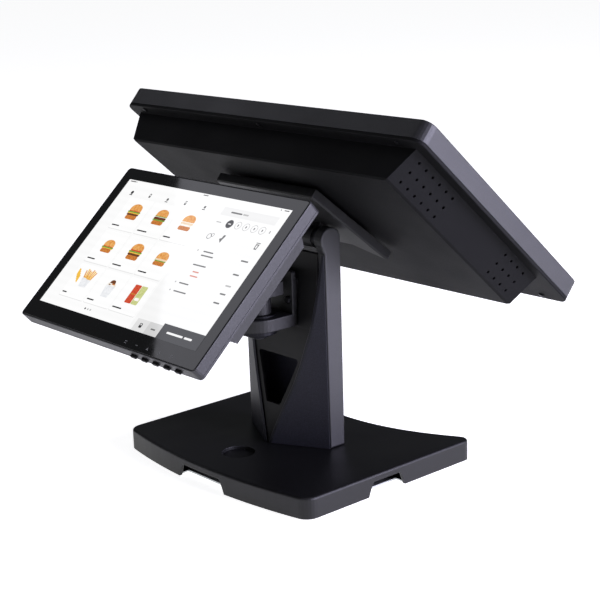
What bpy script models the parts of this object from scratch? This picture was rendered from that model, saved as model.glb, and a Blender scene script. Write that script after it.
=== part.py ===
"""Countertop point-of-sale terminal with an operator screen and a customer screen on one column."""
import math

import bmesh
import bpy
from mathutils import Matrix, Vector

MM = 0.001
GAP = 0.3 * MM          # clearance between neighbouring pieces
BORE_GAP = 0.1 * MM     # radial running clearance of shafts in bores
SCREW_GAP = 0.3 * MM    # radial clearance of screws in their holes
OVERRUN = 1.0 * MM      # how far a cutter passes beyond the face it opens

# base
BASE_WIDTH = 260.0 * MM
BASE_FRONT = 92.1 * MM          # corner of the customer edge
BASE_BACK = -118.6 * MM         # corner of the operator edge
BASE_BULGE = 14.6 * MM          # customer edge bows out
BASE_HOLLOW = 41.9 * MM         # operator edge curves in
BASE_FRONT_CORNER = 13.0 * MM
BASE_BACK_CORNER = 8.0 * MM
BASE_LIFT = 1.5 * MM            # skirt bottom above the table
BASE_TOP = 21.0 * MM
BASE_WALL = 3.0 * MM
BASE_ROUND = 2.4 * MM
NOTCH_HEIGHT = 13.0 * MM
FRONT_NOTCH_HALF = 28.0 * MM
SIDE_NOTCH_HALF = 18.0 * MM
SIDE_NOTCH_Y = -2.0 * MM
NOTCH_FLARE = 5.0 * MM
POLE_HOLE_Y = 61.0 * MM
POLE_HOLE_R = 15.4 * MM
WEIGHT_THICK = 6.0 * MM
WEIGHT_DROP = 2.0 * MM          # weight below the cover, so that the pole hole is a recess
WEIGHT_INSET = 17.0 * MM
PLATE_THICK = 1.5 * MM
FOOT_R = 9.0 * MM
FOOT_HEIGHT = 2.7 * MM
FOOT_X = BASE_WIDTH / 2 - 27.0 * MM
FOOT_FRONT_Y = 74.0 * MM
FOOT_BACK_Y = -88.0 * MM
BASE_SCREW_X = FOOT_X - 19.0 * MM
BASE_SCREW_INSET = 6.0 * MM     # screws sit this far nearer the middle than the feet
BASE_BOSS_R = 5.0 * MM

# column
POST_HALF = 56.3 * MM
POST_BACK = -20.7 * MM
BAND_FRONT_LOW = -2.8 * MM
BAND_FRONT_HIGH = -1.2 * MM
BAND_GROOVE = 1.2 * MM
CHEEK_THICK = 9.0 * MM
NECK_Z = 205.0 * MM
HINGE_Y = -8.9 * MM
HINGE_Z = 217.0 * MM
HEAD_R = 11.8 * MM
NOSE_REACH = 29.6 * MM          # from the groove forward to the prow line
FAIRING_WALL = 1.6 * MM
PANEL_WALL = 2.5 * MM
PANEL_SET = 1.0 * MM            # black panel sits this far behind the fairing edge
SWEEP = (
    (21.3, 25.6), (30.0, 24.2), (40.0, 22.3), (57.5, 18.8), (70.0, 16.0), (82.5, 13.4),
    (100.0, 10.5), (119.6, 7.8), (133.0, 5.8), (150.0, 4.1), (171.0, 2.3), (190.0, 1.1), (204.0, 0.2),
)
WINDOW_LOW = 58.0 * MM
WINDOW_HIGH = 103.5 * MM
WINDOW_RAIL = 4.1 * MM          # panel left on each side of the window
CORE_WALL = 3.0 * MM
CORE_FRONT = -3.7 * MM
AXLE_R = 5.0 * MM
AXLE_SINK = 5.0 * MM            # axle end sunk into each cheek
BARREL_R = 9.4 * MM
FRICTION_THICK = 4.5 * MM
BARREL_HALF = POST_HALF - CHEEK_THICK - CORE_WALL - FRICTION_THICK - 3 * GAP

# operator screen unit
MAIN_TILT = 41.5                # degrees of the screen plane above level
MAIN_FACE = 76.4 * MM           # hinge axis to the glass face
MAIN_SHIFT = -31.7 * MM         # screen centre below the hinge along the screen
MAIN_WIDTH = 398.6 * MM
MAIN_HEIGHT = 256.2 * MM
MAIN_CORNER = 10.0 * MM
FRAME_DEPTH = 20.6 * MM
LIP_THICK = 3.0 * MM
FRAME_WALL = 3.0 * MM
GLASS_THICK = 3.0 * MM
GLASS_RIM = 2.0 * MM
LCD_WIDTH = 359.6 * MM
LCD_HEIGHT = 223.8 * MM
LCD_THICK = 6.4 * MM
BOX_TOP = 84.1 * MM
BOX_BOTTOM = -117.4 * MM
BOX_HALF_ROOT = 188.2 * MM
BOX_HALF_BACK = 173.3 * MM
BOX_DEPTH = 31.2 * MM
BOX_WALL = 2.5 * MM
PAD_HALF_X = 58.0 * MM
PAD_HALF_Y = 30.0 * MM
TILT_PLATE_THICK = 9.0 * MM
TILT_PLATE_TOP = 52.1 * MM
TILT_PLATE_BOTTOM = -47.9 * MM
TILT_PLATE_ARCH = 18.0 * MM
TILT_PLATE_HALF_TOP = 66.0 * MM
TILT_PLATE_HALF_BOTTOM = 82.0 * MM
TILT_PLATE_ARCH_HALF = 52.0 * MM
PLATE_SCREW_X = 30.0 * MM
PLATE_SCREW_Y = 22.0 * MM
VENT_PITCH = 10.4 * MM
VENT_ROW = 9.6 * MM
VENT_R = 1.4 * MM
VENT_FIRST_ROW = 31.2 * MM      # from the hinge axis towards the glass
UPPER_VENT_Y = 71.3 * MM
UPPER_VENTS = 6
LOWER_VENT_Y = -70.2 * MM
LOWER_VENTS = 4
VENT_ROWS = 3
BOARD_THICK = 1.6 * MM
BOARD_RISE = 18.0 * MM          # board above the housing's rear wall
BOARD_HALF_X = 95.0 * MM
BOARD_HALF_Y = 70.0 * MM
SPEAKER_LONG = 58.0 * MM
SPEAKER_WIDE = 16.0 * MM
SPEAKER_DEEP = 20.0 * MM
IO_HALF = 80.0 * MM
IO_HEIGHT = 16.0 * MM
POWER_X = 150.0 * MM
POWER_LONG = 12.0 * MM
POWER_WIDE = 4.0 * MM
BUTTON_TRAVEL = 1.0 * MM

# customer screen unit
CUST_TILT = 42.1                # degrees the screen leans back from level
CUST_HINGE_Y = 112.6 * MM
CUST_HINGE_Z = 187.2 * MM
CUST_FACE = 39.5 * MM           # hinge axis to the glass face
CUST_WIDTH = 254.7 * MM
CUST_HEIGHT = 172.0 * MM
CUST_CORNER = 4.0 * MM
CUST_DEPTH = 12.7 * MM
CUST_REAR_LIP = 2.4 * MM
CUST_WALL = 2.0 * MM
CUST_GLASS = 2.0 * MM
CUST_RIM = 1.0 * MM
CUST_LCD_HALF_X = 116.0 * MM
CUST_LCD_HIGH = 75.6 * MM       # towards the top edge
CUST_LCD_LOW = 70.0 * MM        # towards the bottom edge
CUST_LCD_THICK = 4.4 * MM
BUMP_DEPTH = 12.5 * MM
BUMP_HALF_X = 124.0 * MM
BUMP_TOP = -61.5 * MM
BUMP_BOTTOM = 47.0 * MM
BUMP_SLOPE = 5.0 * MM
BUTTON_X = (-43.0, -58.0, -73.0, -88.0, -103.0)
BUTTON_LONG = 7.0 * MM
BUTTON_WIDE = 3.0 * MM
BUTTON_PROUD = 2.6 * MM
HINGE_PLATE_HALF_X = 40.0 * MM
HINGE_PLATE_HALF_Y = 28.0 * MM
HINGE_PLATE_THICK = 3.7 * MM
KNUCKLE_R = 8.0 * MM
KNUCKLE_HALF = 7.7 * MM
PIN_R = 4.0 * MM
ARM_HALF = 17.0 * MM
SWIVEL_Y = 32.0 * MM
SHAFT_R = 12.5 * MM
SPIGOT_R = 8.0 * MM
SWIVEL_PIN_R = 5.0 * MM
TONGUE_R = 23.0 * MM
TONGUE_LOW = 134.3 * MM
TONGUE_THICK = 12.0 * MM
WASHER_THICK = 1.4 * MM
WASHER_R = 17.0 * MM
NUT_R = 11.0 * MM
NUT_FLANGE_R = 17.5 * MM
NUT_FLANGE_THICK = 4.5 * MM
NUT_THICK = 8.0 * MM
ARM_LOW = 165.0 * MM
ARM_THICK = 12.0 * MM
FLANGE_BACK = 5.2 * MM
FLANGE_THICK = 4.5 * MM
FLANGE_TOP = 186.0 * MM
KEY_HALF = 21.0 * MM            # raised key on the back of the flange
KEY_LOW = 150.0 * MM
KEY_HIGH = 178.0 * MM
BRACKET_SCREW_X = 17.0 * MM
BRACKET_SCREW_Z = 159.0 * MM

FINISHES = {
    "textured black paint": ((0.020, 0.020, 0.022, 1), 0.55, 0.0),
    "grey black paint": ((0.055, 0.055, 0.062, 1), 0.50, 0.0),
    "black moulding": ((0.012, 0.012, 0.013, 1), 0.45, 0.0),
    "gloss black glass": ((0.004, 0.004, 0.005, 1), 0.05, 0.0),
    "screen panel": ((0.55, 0.56, 0.58, 1), 0.30, 0.0),
    "zinc steel": ((0.42, 0.42, 0.43, 1), 0.35, 1.0),
    "bare steel": ((0.35, 0.35, 0.36, 1), 0.45, 1.0),
    "blackened screw": ((0.03, 0.03, 0.03, 1), 0.35, 1.0),
    "aluminium": ((0.60, 0.61, 0.63, 1), 0.40, 1.0),
    "rubber": ((0.015, 0.015, 0.015, 1), 0.90, 0.0),
    "circuit board": ((0.02, 0.12, 0.05, 1), 0.50, 0.0),
}


def clear_scene():
    for obj in list(bpy.data.objects):
        bpy.data.objects.remove(obj, do_unlink=True)


def finish(name):
    """Material of that name, made once."""
    known = bpy.data.materials.get(name)
    if known:
        return known
    colour, roughness, metallic = FINISHES[name]
    made = bpy.data.materials.new(name)
    made.use_nodes = True
    shader = made.node_tree.nodes["Principled BSDF"]
    shader.inputs["Base Color"].default_value = colour
    shader.inputs["Roughness"].default_value = roughness
    shader.inputs["Metallic"].default_value = metallic
    made.diffuse_color = colour
    return made


# shapes: each returns (points, faces)

def loft(rings):
    """Closed solid through rings of equal count, capped at both ends."""
    count = len(rings[0])
    points = [Vector(p) for ring in rings for p in ring]
    faces = []
    for level in range(len(rings) - 1):
        low = level * count
        for i in range(count):
            j = (i + 1) % count
            faces.append((low + i, low + j, low + count + j, low + count + i))
    faces.append(tuple(range(count)))
    last = (len(rings) - 1) * count
    faces.append(tuple(last + i for i in range(count)))
    return points, faces


def place(flat, axis, height):
    """Point of a flat outline put at that height along the axis."""
    a, b = flat
    if axis == "X":
        return (height, a, b)
    if axis == "Y":
        return (a, height, b)
    return (a, b, height)


def prism(outline, axis, low, high):
    return loft([[place(p, axis, low) for p in outline], [place(p, axis, high) for p in outline]])


def box(low, high):
    outline = [(low[0], low[1]), (high[0], low[1]), (high[0], high[1]), (low[0], high[1])]
    return prism(outline, "Z", low[2], high[2])


def inset(outline, distance):
    """Outline moved inwards by distance; corners keep their angle."""
    count = len(outline)
    area = 0.0
    for i in range(count):
        a, b = outline[i], outline[(i + 1) % count]
        area += a[0] * b[1] - b[0] * a[1]
    turn = 1.0 if area > 0 else -1.0
    moved = []
    for i in range(count):
        before, here, after = outline[i - 1], outline[i], outline[(i + 1) % count]
        first = Vector((here[0] - before[0], here[1] - before[1])).normalized()
        second = Vector((after[0] - here[0], after[1] - here[1])).normalized()
        n1 = Vector((-first.y, first.x)) * turn
        n2 = Vector((-second.y, second.x)) * turn
        mid = (n1 + n2).normalized()
        reach = distance / max(mid.dot(n1), 0.2)
        moved.append((here[0] + mid.x * reach, here[1] + mid.y * reach))
    return moved


def slab(outline, axis, low, high, edge_low=0.0, edge_high=0.0, steps=1):
    """Prism with its end edges eased by a chamfer, or rounded when steps is above one."""
    rings = []
    for k in range(steps, -1, -1) if edge_low else [0]:
        angle = 0.5 * math.pi * k / steps
        ring = inset(outline, edge_low * (1 - math.cos(angle))) if k else outline
        height = low + edge_low * (1 - math.sin(angle))
        rings.append([place(p, axis, height) for p in ring])
    for k in range(0, steps + 1) if edge_high else [0]:
        angle = 0.5 * math.pi * k / steps
        ring = inset(outline, edge_high * (1 - math.cos(angle))) if k else outline
        height = high - edge_high * (1 - math.sin(angle))
        rings.append([place(p, axis, height) for p in ring])
    return loft(rings)


def rounded(half_x, low_y, high_y, radius, steps=5):
    """Rounded rectangle outline, symmetric in the first direction."""
    outline = []
    corners = (
        (half_x - radius, high_y - radius, 0.0),
        (-half_x + radius, high_y - radius, 0.5 * math.pi),
        (-half_x + radius, low_y + radius, math.pi),
        (half_x - radius, low_y + radius, 1.5 * math.pi),
    )
    for cx, cy, start in corners:
        for k in range(steps + 1):
            angle = start + 0.5 * math.pi * k / steps
            outline.append((cx + radius * math.cos(angle), cy + radius * math.sin(angle)))
    return outline


def arc(centre, radius, start, end, steps):
    """Points of an arc, angles in degrees."""
    points = []
    for k in range(steps + 1):
        angle = math.radians(start + (end - start) * k / steps)
        points.append((centre[0] + radius * math.cos(angle), centre[1] + radius * math.sin(angle)))
    return points


def turned(profile, axis, centre, steps=24, closed=False):
    """Solid of revolution: profile of (radius, height along the axis)."""
    points = []
    rows = []
    for radius, height in profile:
        if radius < 1e-9:
            rows.append([len(points)] * steps)
            points.append(Vector(place((centre[0], centre[1]), axis, height)))
            continue
        row = []
        for k in range(steps):
            angle = 2 * math.pi * k / steps
            flat = (centre[0] + radius * math.cos(angle), centre[1] + radius * math.sin(angle))
            row.append(len(points))
            points.append(Vector(place(flat, axis, height)))
        rows.append(row)
    faces = []
    pairs = list(zip(rows, rows[1:]))
    if closed:
        pairs.append((rows[-1], rows[0]))
    for first, second in pairs:
        for k in range(steps):
            j = (k + 1) % steps
            corners = []
            for index in (first[k], first[j], second[j], second[k]):
                if index not in corners:
                    corners.append(index)
            if len(corners) > 2:
                faces.append(tuple(corners))
    return points, faces


def rod(axis, centre, radius, low, high, steps=24, edge=0.0):
    if edge:
        return turned(
            [(0, low), (radius - edge, low), (radius, low + edge), (radius, high - edge), (radius - edge, high), (0, high)],
            axis, centre, steps,
        )
    return turned([(0, low), (radius, low), (radius, high), (0, high)], axis, centre, steps)


def ring(axis, centre, inner, outer, low, high, steps=24):
    return turned([(inner, low), (outer, low), (outer, high), (inner, high)], axis, centre, steps, closed=True)


def together(shapes):
    """Separate shapes gathered in one (points, faces) pair."""
    points, faces = [], []
    for more_points, more_faces in shapes:
        start = len(points)
        points.extend(more_points)
        faces.extend(tuple(start + i for i in face) for face in more_faces)
    return points, faces


def solid(name, shape, parent=None):
    points, faces = shape
    mesh = bpy.data.meshes.new(name)
    mesh.from_pydata([tuple(p) for p in points], [], faces)
    work = bmesh.new()
    work.from_mesh(mesh)
    bmesh.ops.recalc_face_normals(work, faces=work.faces)
    work.to_mesh(mesh)
    work.free()
    obj = bpy.data.objects.new(name, mesh)
    bpy.context.scene.collection.objects.link(obj)
    if parent:
        obj.parent = parent
    return obj


def tool(name, shape, parent=None):
    """Hidden helper solid for a Boolean."""
    obj = solid(name, shape, parent)
    obj.hide_render = True
    obj.display_type = "WIRE"
    return obj


def combine(obj, helper, operation):
    step = obj.modifiers.new(helper.name, "BOOLEAN")
    step.operation = operation
    step.solver = "EXACT"
    step.object = helper


def piece(name, shape, look, parent=None, add=(), cut=(), smooth=False):
    """One finished piece: its shape, shapes joined to it, then one set of cuts."""
    obj = solid(name, shape, parent)
    obj.data.materials.append(finish(look))
    for index, extra in enumerate(add):
        combine(obj, tool(f"{name}_join_{index}", extra, parent), "UNION")
    if cut:
        combine(obj, tool(f"{name}_cut", together(cut), parent), "DIFFERENCE")
    if smooth:
        obj.data.shade_smooth()
        obj.data.set_sharp_from_angle(angle=math.radians(35))
    return obj


def screw(name, axis, centre, seat, direction, head_r, head_h, shank_r, length, look, parent=None):
    """Round-head screw: head stands off the seat against direction, shank runs along it."""
    top = seat - direction * head_h
    profile = [
        (0, top),
        (head_r * 0.72, top),
        (head_r, top + direction * head_h * 0.45),
        (head_r, seat),
        (shank_r, seat),
        (shank_r, seat + direction * (length - shank_r)),
        (shank_r * 0.3, seat + direction * length),
        (0, seat + direction * length),
    ]
    return piece(name, turned(profile, axis, centre, 16), look, parent, smooth=True)


def hinge_frame(name, location, degrees):
    """Empty on a joint axis, turned about X."""
    frame = bpy.data.objects.new(name, None)
    bpy.context.scene.collection.objects.link(frame)
    frame.location = location
    frame.rotation_euler = (math.radians(degrees), 0, 0)
    return frame


# base

def base_outline(shrink=0.0, front_corner=BASE_FRONT_CORNER, back_corner=BASE_BACK_CORNER):
    """Plan of the base, its edges moved in by shrink and its corners rounded."""
    half = BASE_WIDTH / 2
    steps = 22
    raw = []
    for k in range(steps + 1):
        x = (half - shrink) * (1 - 2 * k / steps)
        bow = 1 - (x / half) ** 2
        raw.append((x, BASE_FRONT + BASE_BULGE * bow - shrink))
    for k in range(steps + 1):
        x = (half - shrink) * (2 * k / steps - 1)
        bow = 1 - (x / half) ** 2
        raw.append((x, BASE_BACK + BASE_HOLLOW * bow + 1.2 * shrink))
    corners = {
        0: front_corner,
        steps: front_corner,
        steps + 1: back_corner,
        2 * steps + 1: back_corner,
    }
    arcs = {}
    for i, radius in corners.items():
        here = Vector(raw[i])
        back = (Vector(raw[i - 1]) - here).normalized()
        forth = (Vector(raw[(i + 1) % len(raw)]) - here).normalized()
        arcs[i] = corner_arc(here, back, forth, radius)
    outline = []
    for i, here in enumerate(raw):
        if i in arcs:
            outline.extend(arcs[i])
            continue
        clear = True
        for c, points in arcs.items():
            reach = (Vector(points[0]) - Vector(raw[c])).length + 1.5 * MM
            clear = clear and (Vector(here) - Vector(raw[c])).length > reach
        if clear:
            outline.append(here)
    return outline


def corner_arc(corner, back, forth, radius):
    """Arc that rounds a corner between two directions leaving it."""
    half = 0.5 * back.angle(forth)
    reach = radius / math.tan(half)
    centre = corner + (back + forth).normalized() * (radius / math.sin(half))
    start = corner + back * reach - centre
    end = corner + forth * reach - centre
    sweep = start.angle_signed(end)
    points = []
    for k in range(7):
        turn = Matrix.Rotation(-sweep * k / 6, 2)
        points.append(tuple(centre + turn @ start))
    return points


def notch_cut(centre, half, along, across_low, across_high):
    """Cable notch through the skirt, flared at the bottom."""
    low = BASE_LIFT - OVERRUN
    outline = [
        (centre - half - NOTCH_FLARE, low),
        (centre + half + NOTCH_FLARE, low),
        (centre + half, BASE_LIFT + NOTCH_HEIGHT - 2 * MM),
        (centre + half - 2 * MM, BASE_LIFT + NOTCH_HEIGHT),
        (centre - half + 2 * MM, BASE_LIFT + NOTCH_HEIGHT),
        (centre - half, BASE_LIFT + NOTCH_HEIGHT - 2 * MM),
    ]
    return prism(outline, along, across_low, across_high)


def base_screw_spots():
    spots = []
    for x in (-BASE_SCREW_X, BASE_SCREW_X):
        for y in (FOOT_FRONT_Y - BASE_SCREW_INSET, FOOT_BACK_Y + BASE_SCREW_INSET):
            spots.append((x, y))
    return spots


def build_base():
    outline = base_outline()
    half = BASE_WIDTH / 2
    under = BASE_TOP - BASE_WALL
    weight_top = under - GAP - WEIGHT_DROP
    weight_low = weight_top - WEIGHT_THICK
    plate_low = FOOT_HEIGHT + GAP
    plate_top = plate_low + PLATE_THICK
    shaft = 2.0 * MM
    hollow = prism(inset(outline, BASE_WALL), "Z", BASE_LIFT - OVERRUN, under)
    core_slot = box(
        (-POST_HALF + CHEEK_THICK - GAP, POST_BACK + CORE_WALL, under - OVERRUN),
        (POST_HALF - CHEEK_THICK + GAP, CORE_FRONT + GAP, BASE_TOP + OVERRUN),
    )
    front = BASE_FRONT + BASE_BULGE
    edge = half - BASE_WALL - OVERRUN
    notches = [
        notch_cut(0, FRONT_NOTCH_HALF, "Y", front - 3 * BASE_WALL, front + OVERRUN),
        notch_cut(SIDE_NOTCH_Y, SIDE_NOTCH_HALF, "X", edge, half + OVERRUN),
        notch_cut(SIDE_NOTCH_Y, SIDE_NOTCH_HALF, "X", -half - OVERRUN, -edge),
    ]
    pole = rod("Z", (0, POLE_HOLE_Y), POLE_HOLE_R, under - OVERRUN, BASE_TOP + OVERRUN, 32)
    cover = piece(
        "base_cover",
        slab(outline, "Z", BASE_LIFT, BASE_TOP, 0, BASE_ROUND, 4),
        "textured black paint",
        cut=[hollow],
    )
    for index, spot in enumerate(base_screw_spots()):
        boss = ring("Z", spot, shaft + SCREW_GAP, BASE_BOSS_R, plate_top + GAP, under + 0.5 * MM, 20)
        combine(cover, tool(f"base_cover_boss_{index}", boss), "UNION")
    combine(cover, tool("base_cover_openings", together(notches + [pole, core_slot])), "DIFFERENCE")

    bosses = []
    for spot in base_screw_spots():
        bosses.append(rod("Z", spot, BASE_BOSS_R + GAP, weight_low - OVERRUN, weight_top + OVERRUN, 20))
    bosses.append(box(
        (-POST_HALF + CHEEK_THICK - GAP, POST_BACK + CORE_WALL, weight_low - OVERRUN),
        (POST_HALF - CHEEK_THICK + GAP, CORE_FRONT + GAP, weight_top + OVERRUN),
    ))
    piece(
        "base_weight",
        slab(base_outline(WEIGHT_INSET, 6 * MM, 3 * MM), "Z", weight_low, weight_top, 0.5 * MM, 0.5 * MM),
        "bare steel",
        cut=bosses,
    )

    plate_edge = inset(outline, BASE_WALL + GAP)
    reach = BASE_WALL + 8 * MM
    openings = [
        notch_cut(0, FRONT_NOTCH_HALF, "Y", front - reach, front + OVERRUN),
        notch_cut(SIDE_NOTCH_Y, SIDE_NOTCH_HALF, "X", half - reach, half + OVERRUN),
        notch_cut(SIDE_NOTCH_Y, SIDE_NOTCH_HALF, "X", -half - OVERRUN, -half + reach),
    ]
    for spot in base_screw_spots():
        openings.append(rod("Z", spot, shaft + SCREW_GAP, plate_low - OVERRUN, plate_top + OVERRUN, 16))
    piece("base_plate", prism(plate_edge, "Z", plate_low, plate_top), "zinc steel", cut=openings)

    for index, spot in enumerate(base_screw_spots()):
        screw(
            f"base_screw_{index + 1}", "Z", spot, plate_low - GAP, 1, 3.6 * MM, 1.4 * MM, shaft,
            11.0 * MM, "zinc steel",
        )
    index = 0
    for x in (-FOOT_X, FOOT_X):
        for y in (FOOT_FRONT_Y, FOOT_BACK_Y):
            index += 1
            piece(
                f"foot_{index}", rod("Z", (x, y), FOOT_R, 0, FOOT_HEIGHT, 28, 0.5 * MM), "rubber", smooth=True,
            )
    seat = weight_top + GAP
    reach = POLE_HOLE_R + 3 * MM
    profile = [(0, seat), (reach, seat), (reach, under - GAP), (0, under - GAP)]
    piece("pole_hole_plug", turned(profile, "Z", (0, POLE_HOLE_Y), 32), "black moulding", smooth=True)


# column

def band_front(z):
    """Front edge of the cheek band, which leans slightly with height."""
    t = (z - BASE_TOP) / (NECK_Z - BASE_TOP)
    return BAND_FRONT_LOW + (BAND_FRONT_HIGH - BAND_FRONT_LOW) * t


def prow_half(y, z):
    """Outer half width of the prow at that depth and height."""
    start = band_front(z) + BAND_GROOVE
    return POST_HALF * (1 - (y - start) / NOSE_REACH)


def wall_across():
    """Fairing wall measured across the width."""
    slant = math.hypot(POST_HALF, NOSE_REACH)
    return FAIRING_WALL * slant / NOSE_REACH


def build_cheeks():
    low = BASE_TOP + GAP
    head = arc((HINGE_Y, HINGE_Z), HEAD_R, -32, 180, 18)
    outline = [(POST_BACK, low), (band_front(low), low), (BAND_FRONT_HIGH, NECK_Z), (BAND_FRONT_HIGH + 2 * MM, NECK_Z + 4.0 * MM)]
    outline += head
    inner = POST_HALF - CHEEK_THICK
    for side, label in ((-1, "left"), (1, "right")):
        ease = 1.6 * MM
        if side > 0:
            shape = slab(outline, "X", inner, POST_HALF, 0, ease, 3)
        else:
            shape = slab(outline, "X", -POST_HALF, -inner, ease, 0, 3)
        seat = sorted((side * (inner - OVERRUN), side * (inner + AXLE_SINK + GAP)))
        bore = rod("X", (HINGE_Y, HINGE_Z), AXLE_R + BORE_GAP, seat[0], seat[1], 24)
        piece(f"column_cheek_{label}", shape, "grey black paint", cut=[bore], smooth=True)


def build_core():
    outer = POST_HALF - CHEEK_THICK - GAP
    back = POST_BACK + CORE_WALL + GAP
    low = BASE_TOP - BASE_WALL - GAP - WEIGHT_DROP - WEIGHT_THICK - GAP - CORE_WALL
    web_top = HINGE_Z - BARREL_R - 7.6 * MM
    web = box((-outer, back, low), (outer, back + CORE_WALL, web_top))
    add = []
    for side in (-1, 1):
        ear_r = CORE_FRONT - back
        outline = [(back, low), (CORE_FRONT, low), (CORE_FRONT, HINGE_Z - 4 * MM)]
        outline += arc((HINGE_Y, HINGE_Z), 0.72 * ear_r, 0, 180, 10)
        outline += [(back, HINGE_Z - 4 * MM)]
        span = sorted((side * outer, side * (outer - CORE_WALL)))
        add.append(prism(outline, "X", span[0], span[1]))
    foot_half = outer + 14 * MM
    add.append(box((-foot_half, back - 14 * MM, low), (foot_half, CORE_FRONT + 24 * MM, low + CORE_WALL)))
    cross_low = KEY_LOW - 8 * MM
    cross_high = KEY_HIGH + 4 * MM
    add.append(box((-outer, CORE_FRONT - CORE_WALL, cross_low), (outer, CORE_FRONT, cross_high)))
    cuts = [rod("X", (HINGE_Y, HINGE_Z), AXLE_R + BORE_GAP, -POST_HALF, POST_HALF, 24)]
    for side in (-1, 1):
        centre = (side * BRACKET_SCREW_X, BRACKET_SCREW_Z)
        cuts.append(rod("Y", centre, 2.0 * MM + SCREW_GAP, CORE_FRONT - CORE_WALL - OVERRUN, CORE_FRONT + OVERRUN, 16))
    piece("column_core", web, "zinc steel", add=add, cut=cuts)


def build_rear_cover():
    half = POST_HALF - CHEEK_THICK - GAP
    outline = rounded(half, BASE_TOP + GAP, HINGE_Z - HEAD_R - 6 * MM, 1.5 * MM, 3)
    piece(
        "column_rear_cover",
        slab(outline, "Y", POST_BACK, POST_BACK + CORE_WALL, 0.8 * MM, 0, 2),
        "textured black paint",
    )


def build_fairings():
    for side, label in ((-1, "left"), (1, "right")):
        rings = []
        for z_mm, y_mm in SWEEP:
            z, front = z_mm * MM, y_mm * MM
            start = band_front(z) + BAND_GROOVE
            across = wall_across()
            rings.append([
                (side * POST_HALF, start, z),
                (side * prow_half(front, z), front, z),
                (side * (prow_half(front, z) - across), front, z),
                (side * (POST_HALF - across), start, z),
            ])
        piece(f"column_fairing_{label}", loft(rings), "grey black paint")


def sweep_front(z):
    """How far forward the swept edge lies at that height."""
    for (low, front_low), (high, front_high) in zip(SWEEP, SWEEP[1:]):
        if z <= high * MM:
            break
    return (front_low + (front_high - front_low) * (z / MM - low) / (high - low)) * MM


def panel_half(z):
    """Half width of the black panel between the fairings."""
    half = max(prow_half(sweep_front(z), z) - wall_across() - GAP, 0.6 * MM)
    return min(half, POST_HALF - CHEEK_THICK - GAP)


def build_front_panel():
    rings = []
    for z_mm, y_mm in SWEEP:
        z, front = z_mm * MM, y_mm * MM - PANEL_SET
        half = panel_half(z)
        rings.append([
            (-half, front, z),
            (half, front, z),
            (half, front - PANEL_WALL, z),
            (-half, front - PANEL_WALL, z),
        ])
    low_half = panel_half(WINDOW_LOW) - WINDOW_RAIL
    high_half = panel_half(WINDOW_HIGH) - WINDOW_RAIL
    window = [
        (-low_half + 2 * MM, WINDOW_LOW),
        (low_half - 2 * MM, WINDOW_LOW),
        (low_half, WINDOW_LOW + 2 * MM),
        (high_half, WINDOW_HIGH - 2 * MM),
        (high_half - 2 * MM, WINDOW_HIGH),
        (-high_half + 2 * MM, WINDOW_HIGH),
        (-high_half, WINDOW_HIGH - 2 * MM),
        (-low_half, WINDOW_LOW + 2 * MM),
    ]
    key = box((-KEY_HALF - GAP, CORE_FRONT, KEY_LOW - GAP), (KEY_HALF + GAP, FLANGE_BACK + 5 * MM, KEY_HIGH + GAP))
    piece(
        "column_front_panel",
        loft(rings),
        "black moulding",
        cut=[prism(window, "Y", -10 * MM, 40 * MM), key],
    )


def build_hinge():
    inner = POST_HALF - CHEEK_THICK
    end = inner + AXLE_SINK
    piece("hinge_axle", rod("X", (HINGE_Y, HINGE_Z), AXLE_R, -end, end, 24, 0.5 * MM), "bare steel", smooth=True)
    core_inner = inner - GAP - CORE_WALL
    for side, label in ((-1, "left"), (1, "right")):
        span = sorted((side * (BARREL_HALF + GAP), side * (core_inner - GAP)))
        washer = ring("X", (HINGE_Y, HINGE_Z), AXLE_R + BORE_GAP, BARREL_R - 0.6 * MM, span[0], span[1], 28)
        piece(f"friction_washer_{label}", washer, "zinc steel", smooth=True)


# operator screen unit, drawn on the hinge axis: Y runs up the screen, Z towards its viewer

def main_levels():
    back_lip = MAIN_FACE - FRAME_DEPTH
    return back_lip, back_lip - BOX_DEPTH


def plate_levels():
    """Front and back of the tilt plate, and the pad it is screwed to."""
    lip, rear = main_levels()
    outer = HEAD_R + 0.9 * MM
    return outer, outer + TILT_PLATE_THICK, rear


def plate_screw_spots():
    return [(sx * PLATE_SCREW_X, sy * PLATE_SCREW_Y) for sx in (-1, 1) for sy in (-1, 1)]


def build_tilt_bracket(frame):
    outer, inner, rear = plate_levels()
    outline = [
        (-TILT_PLATE_HALF_BOTTOM, TILT_PLATE_BOTTOM),
        (-TILT_PLATE_ARCH_HALF, TILT_PLATE_BOTTOM + TILT_PLATE_ARCH),
        (TILT_PLATE_ARCH_HALF, TILT_PLATE_BOTTOM + TILT_PLATE_ARCH),
        (TILT_PLATE_HALF_BOTTOM, TILT_PLATE_BOTTOM),
        (TILT_PLATE_HALF_TOP, TILT_PLATE_TOP),
        (-TILT_PLATE_HALF_TOP, TILT_PLATE_TOP),
    ]
    barrel = rod("X", (0, 0), BARREL_R, -BARREL_HALF, BARREL_HALF, 28)
    web_half = BARREL_HALF - 1 * MM
    web = box((-web_half, -6 * MM, AXLE_R + 1.3 * MM), (web_half, 6 * MM, outer + OVERRUN))
    cuts = [rod("X", (0, 0), AXLE_R + BORE_GAP, -BARREL_HALF - OVERRUN, BARREL_HALF + OVERRUN, 28)]
    for spot in plate_screw_spots():
        cuts.append(rod("Z", spot, 2.0 * MM + SCREW_GAP, outer - OVERRUN, inner + OVERRUN, 16))
    piece(
        "tilt_bracket", slab(outline, "Z", outer, inner, 1.2 * MM, 0.3 * MM), "grey black paint", frame,
        add=[barrel, web], cut=cuts,
    )
    for index, spot in enumerate(plate_screw_spots()):
        screw(
            f"plate_screw_{index + 1}", "Z", spot, outer - GAP, 1, 3.6 * MM, 1.6 * MM, 2.0 * MM,
            TILT_PLATE_THICK + 7.5 * MM, "blackened screw", frame,
        )


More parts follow.
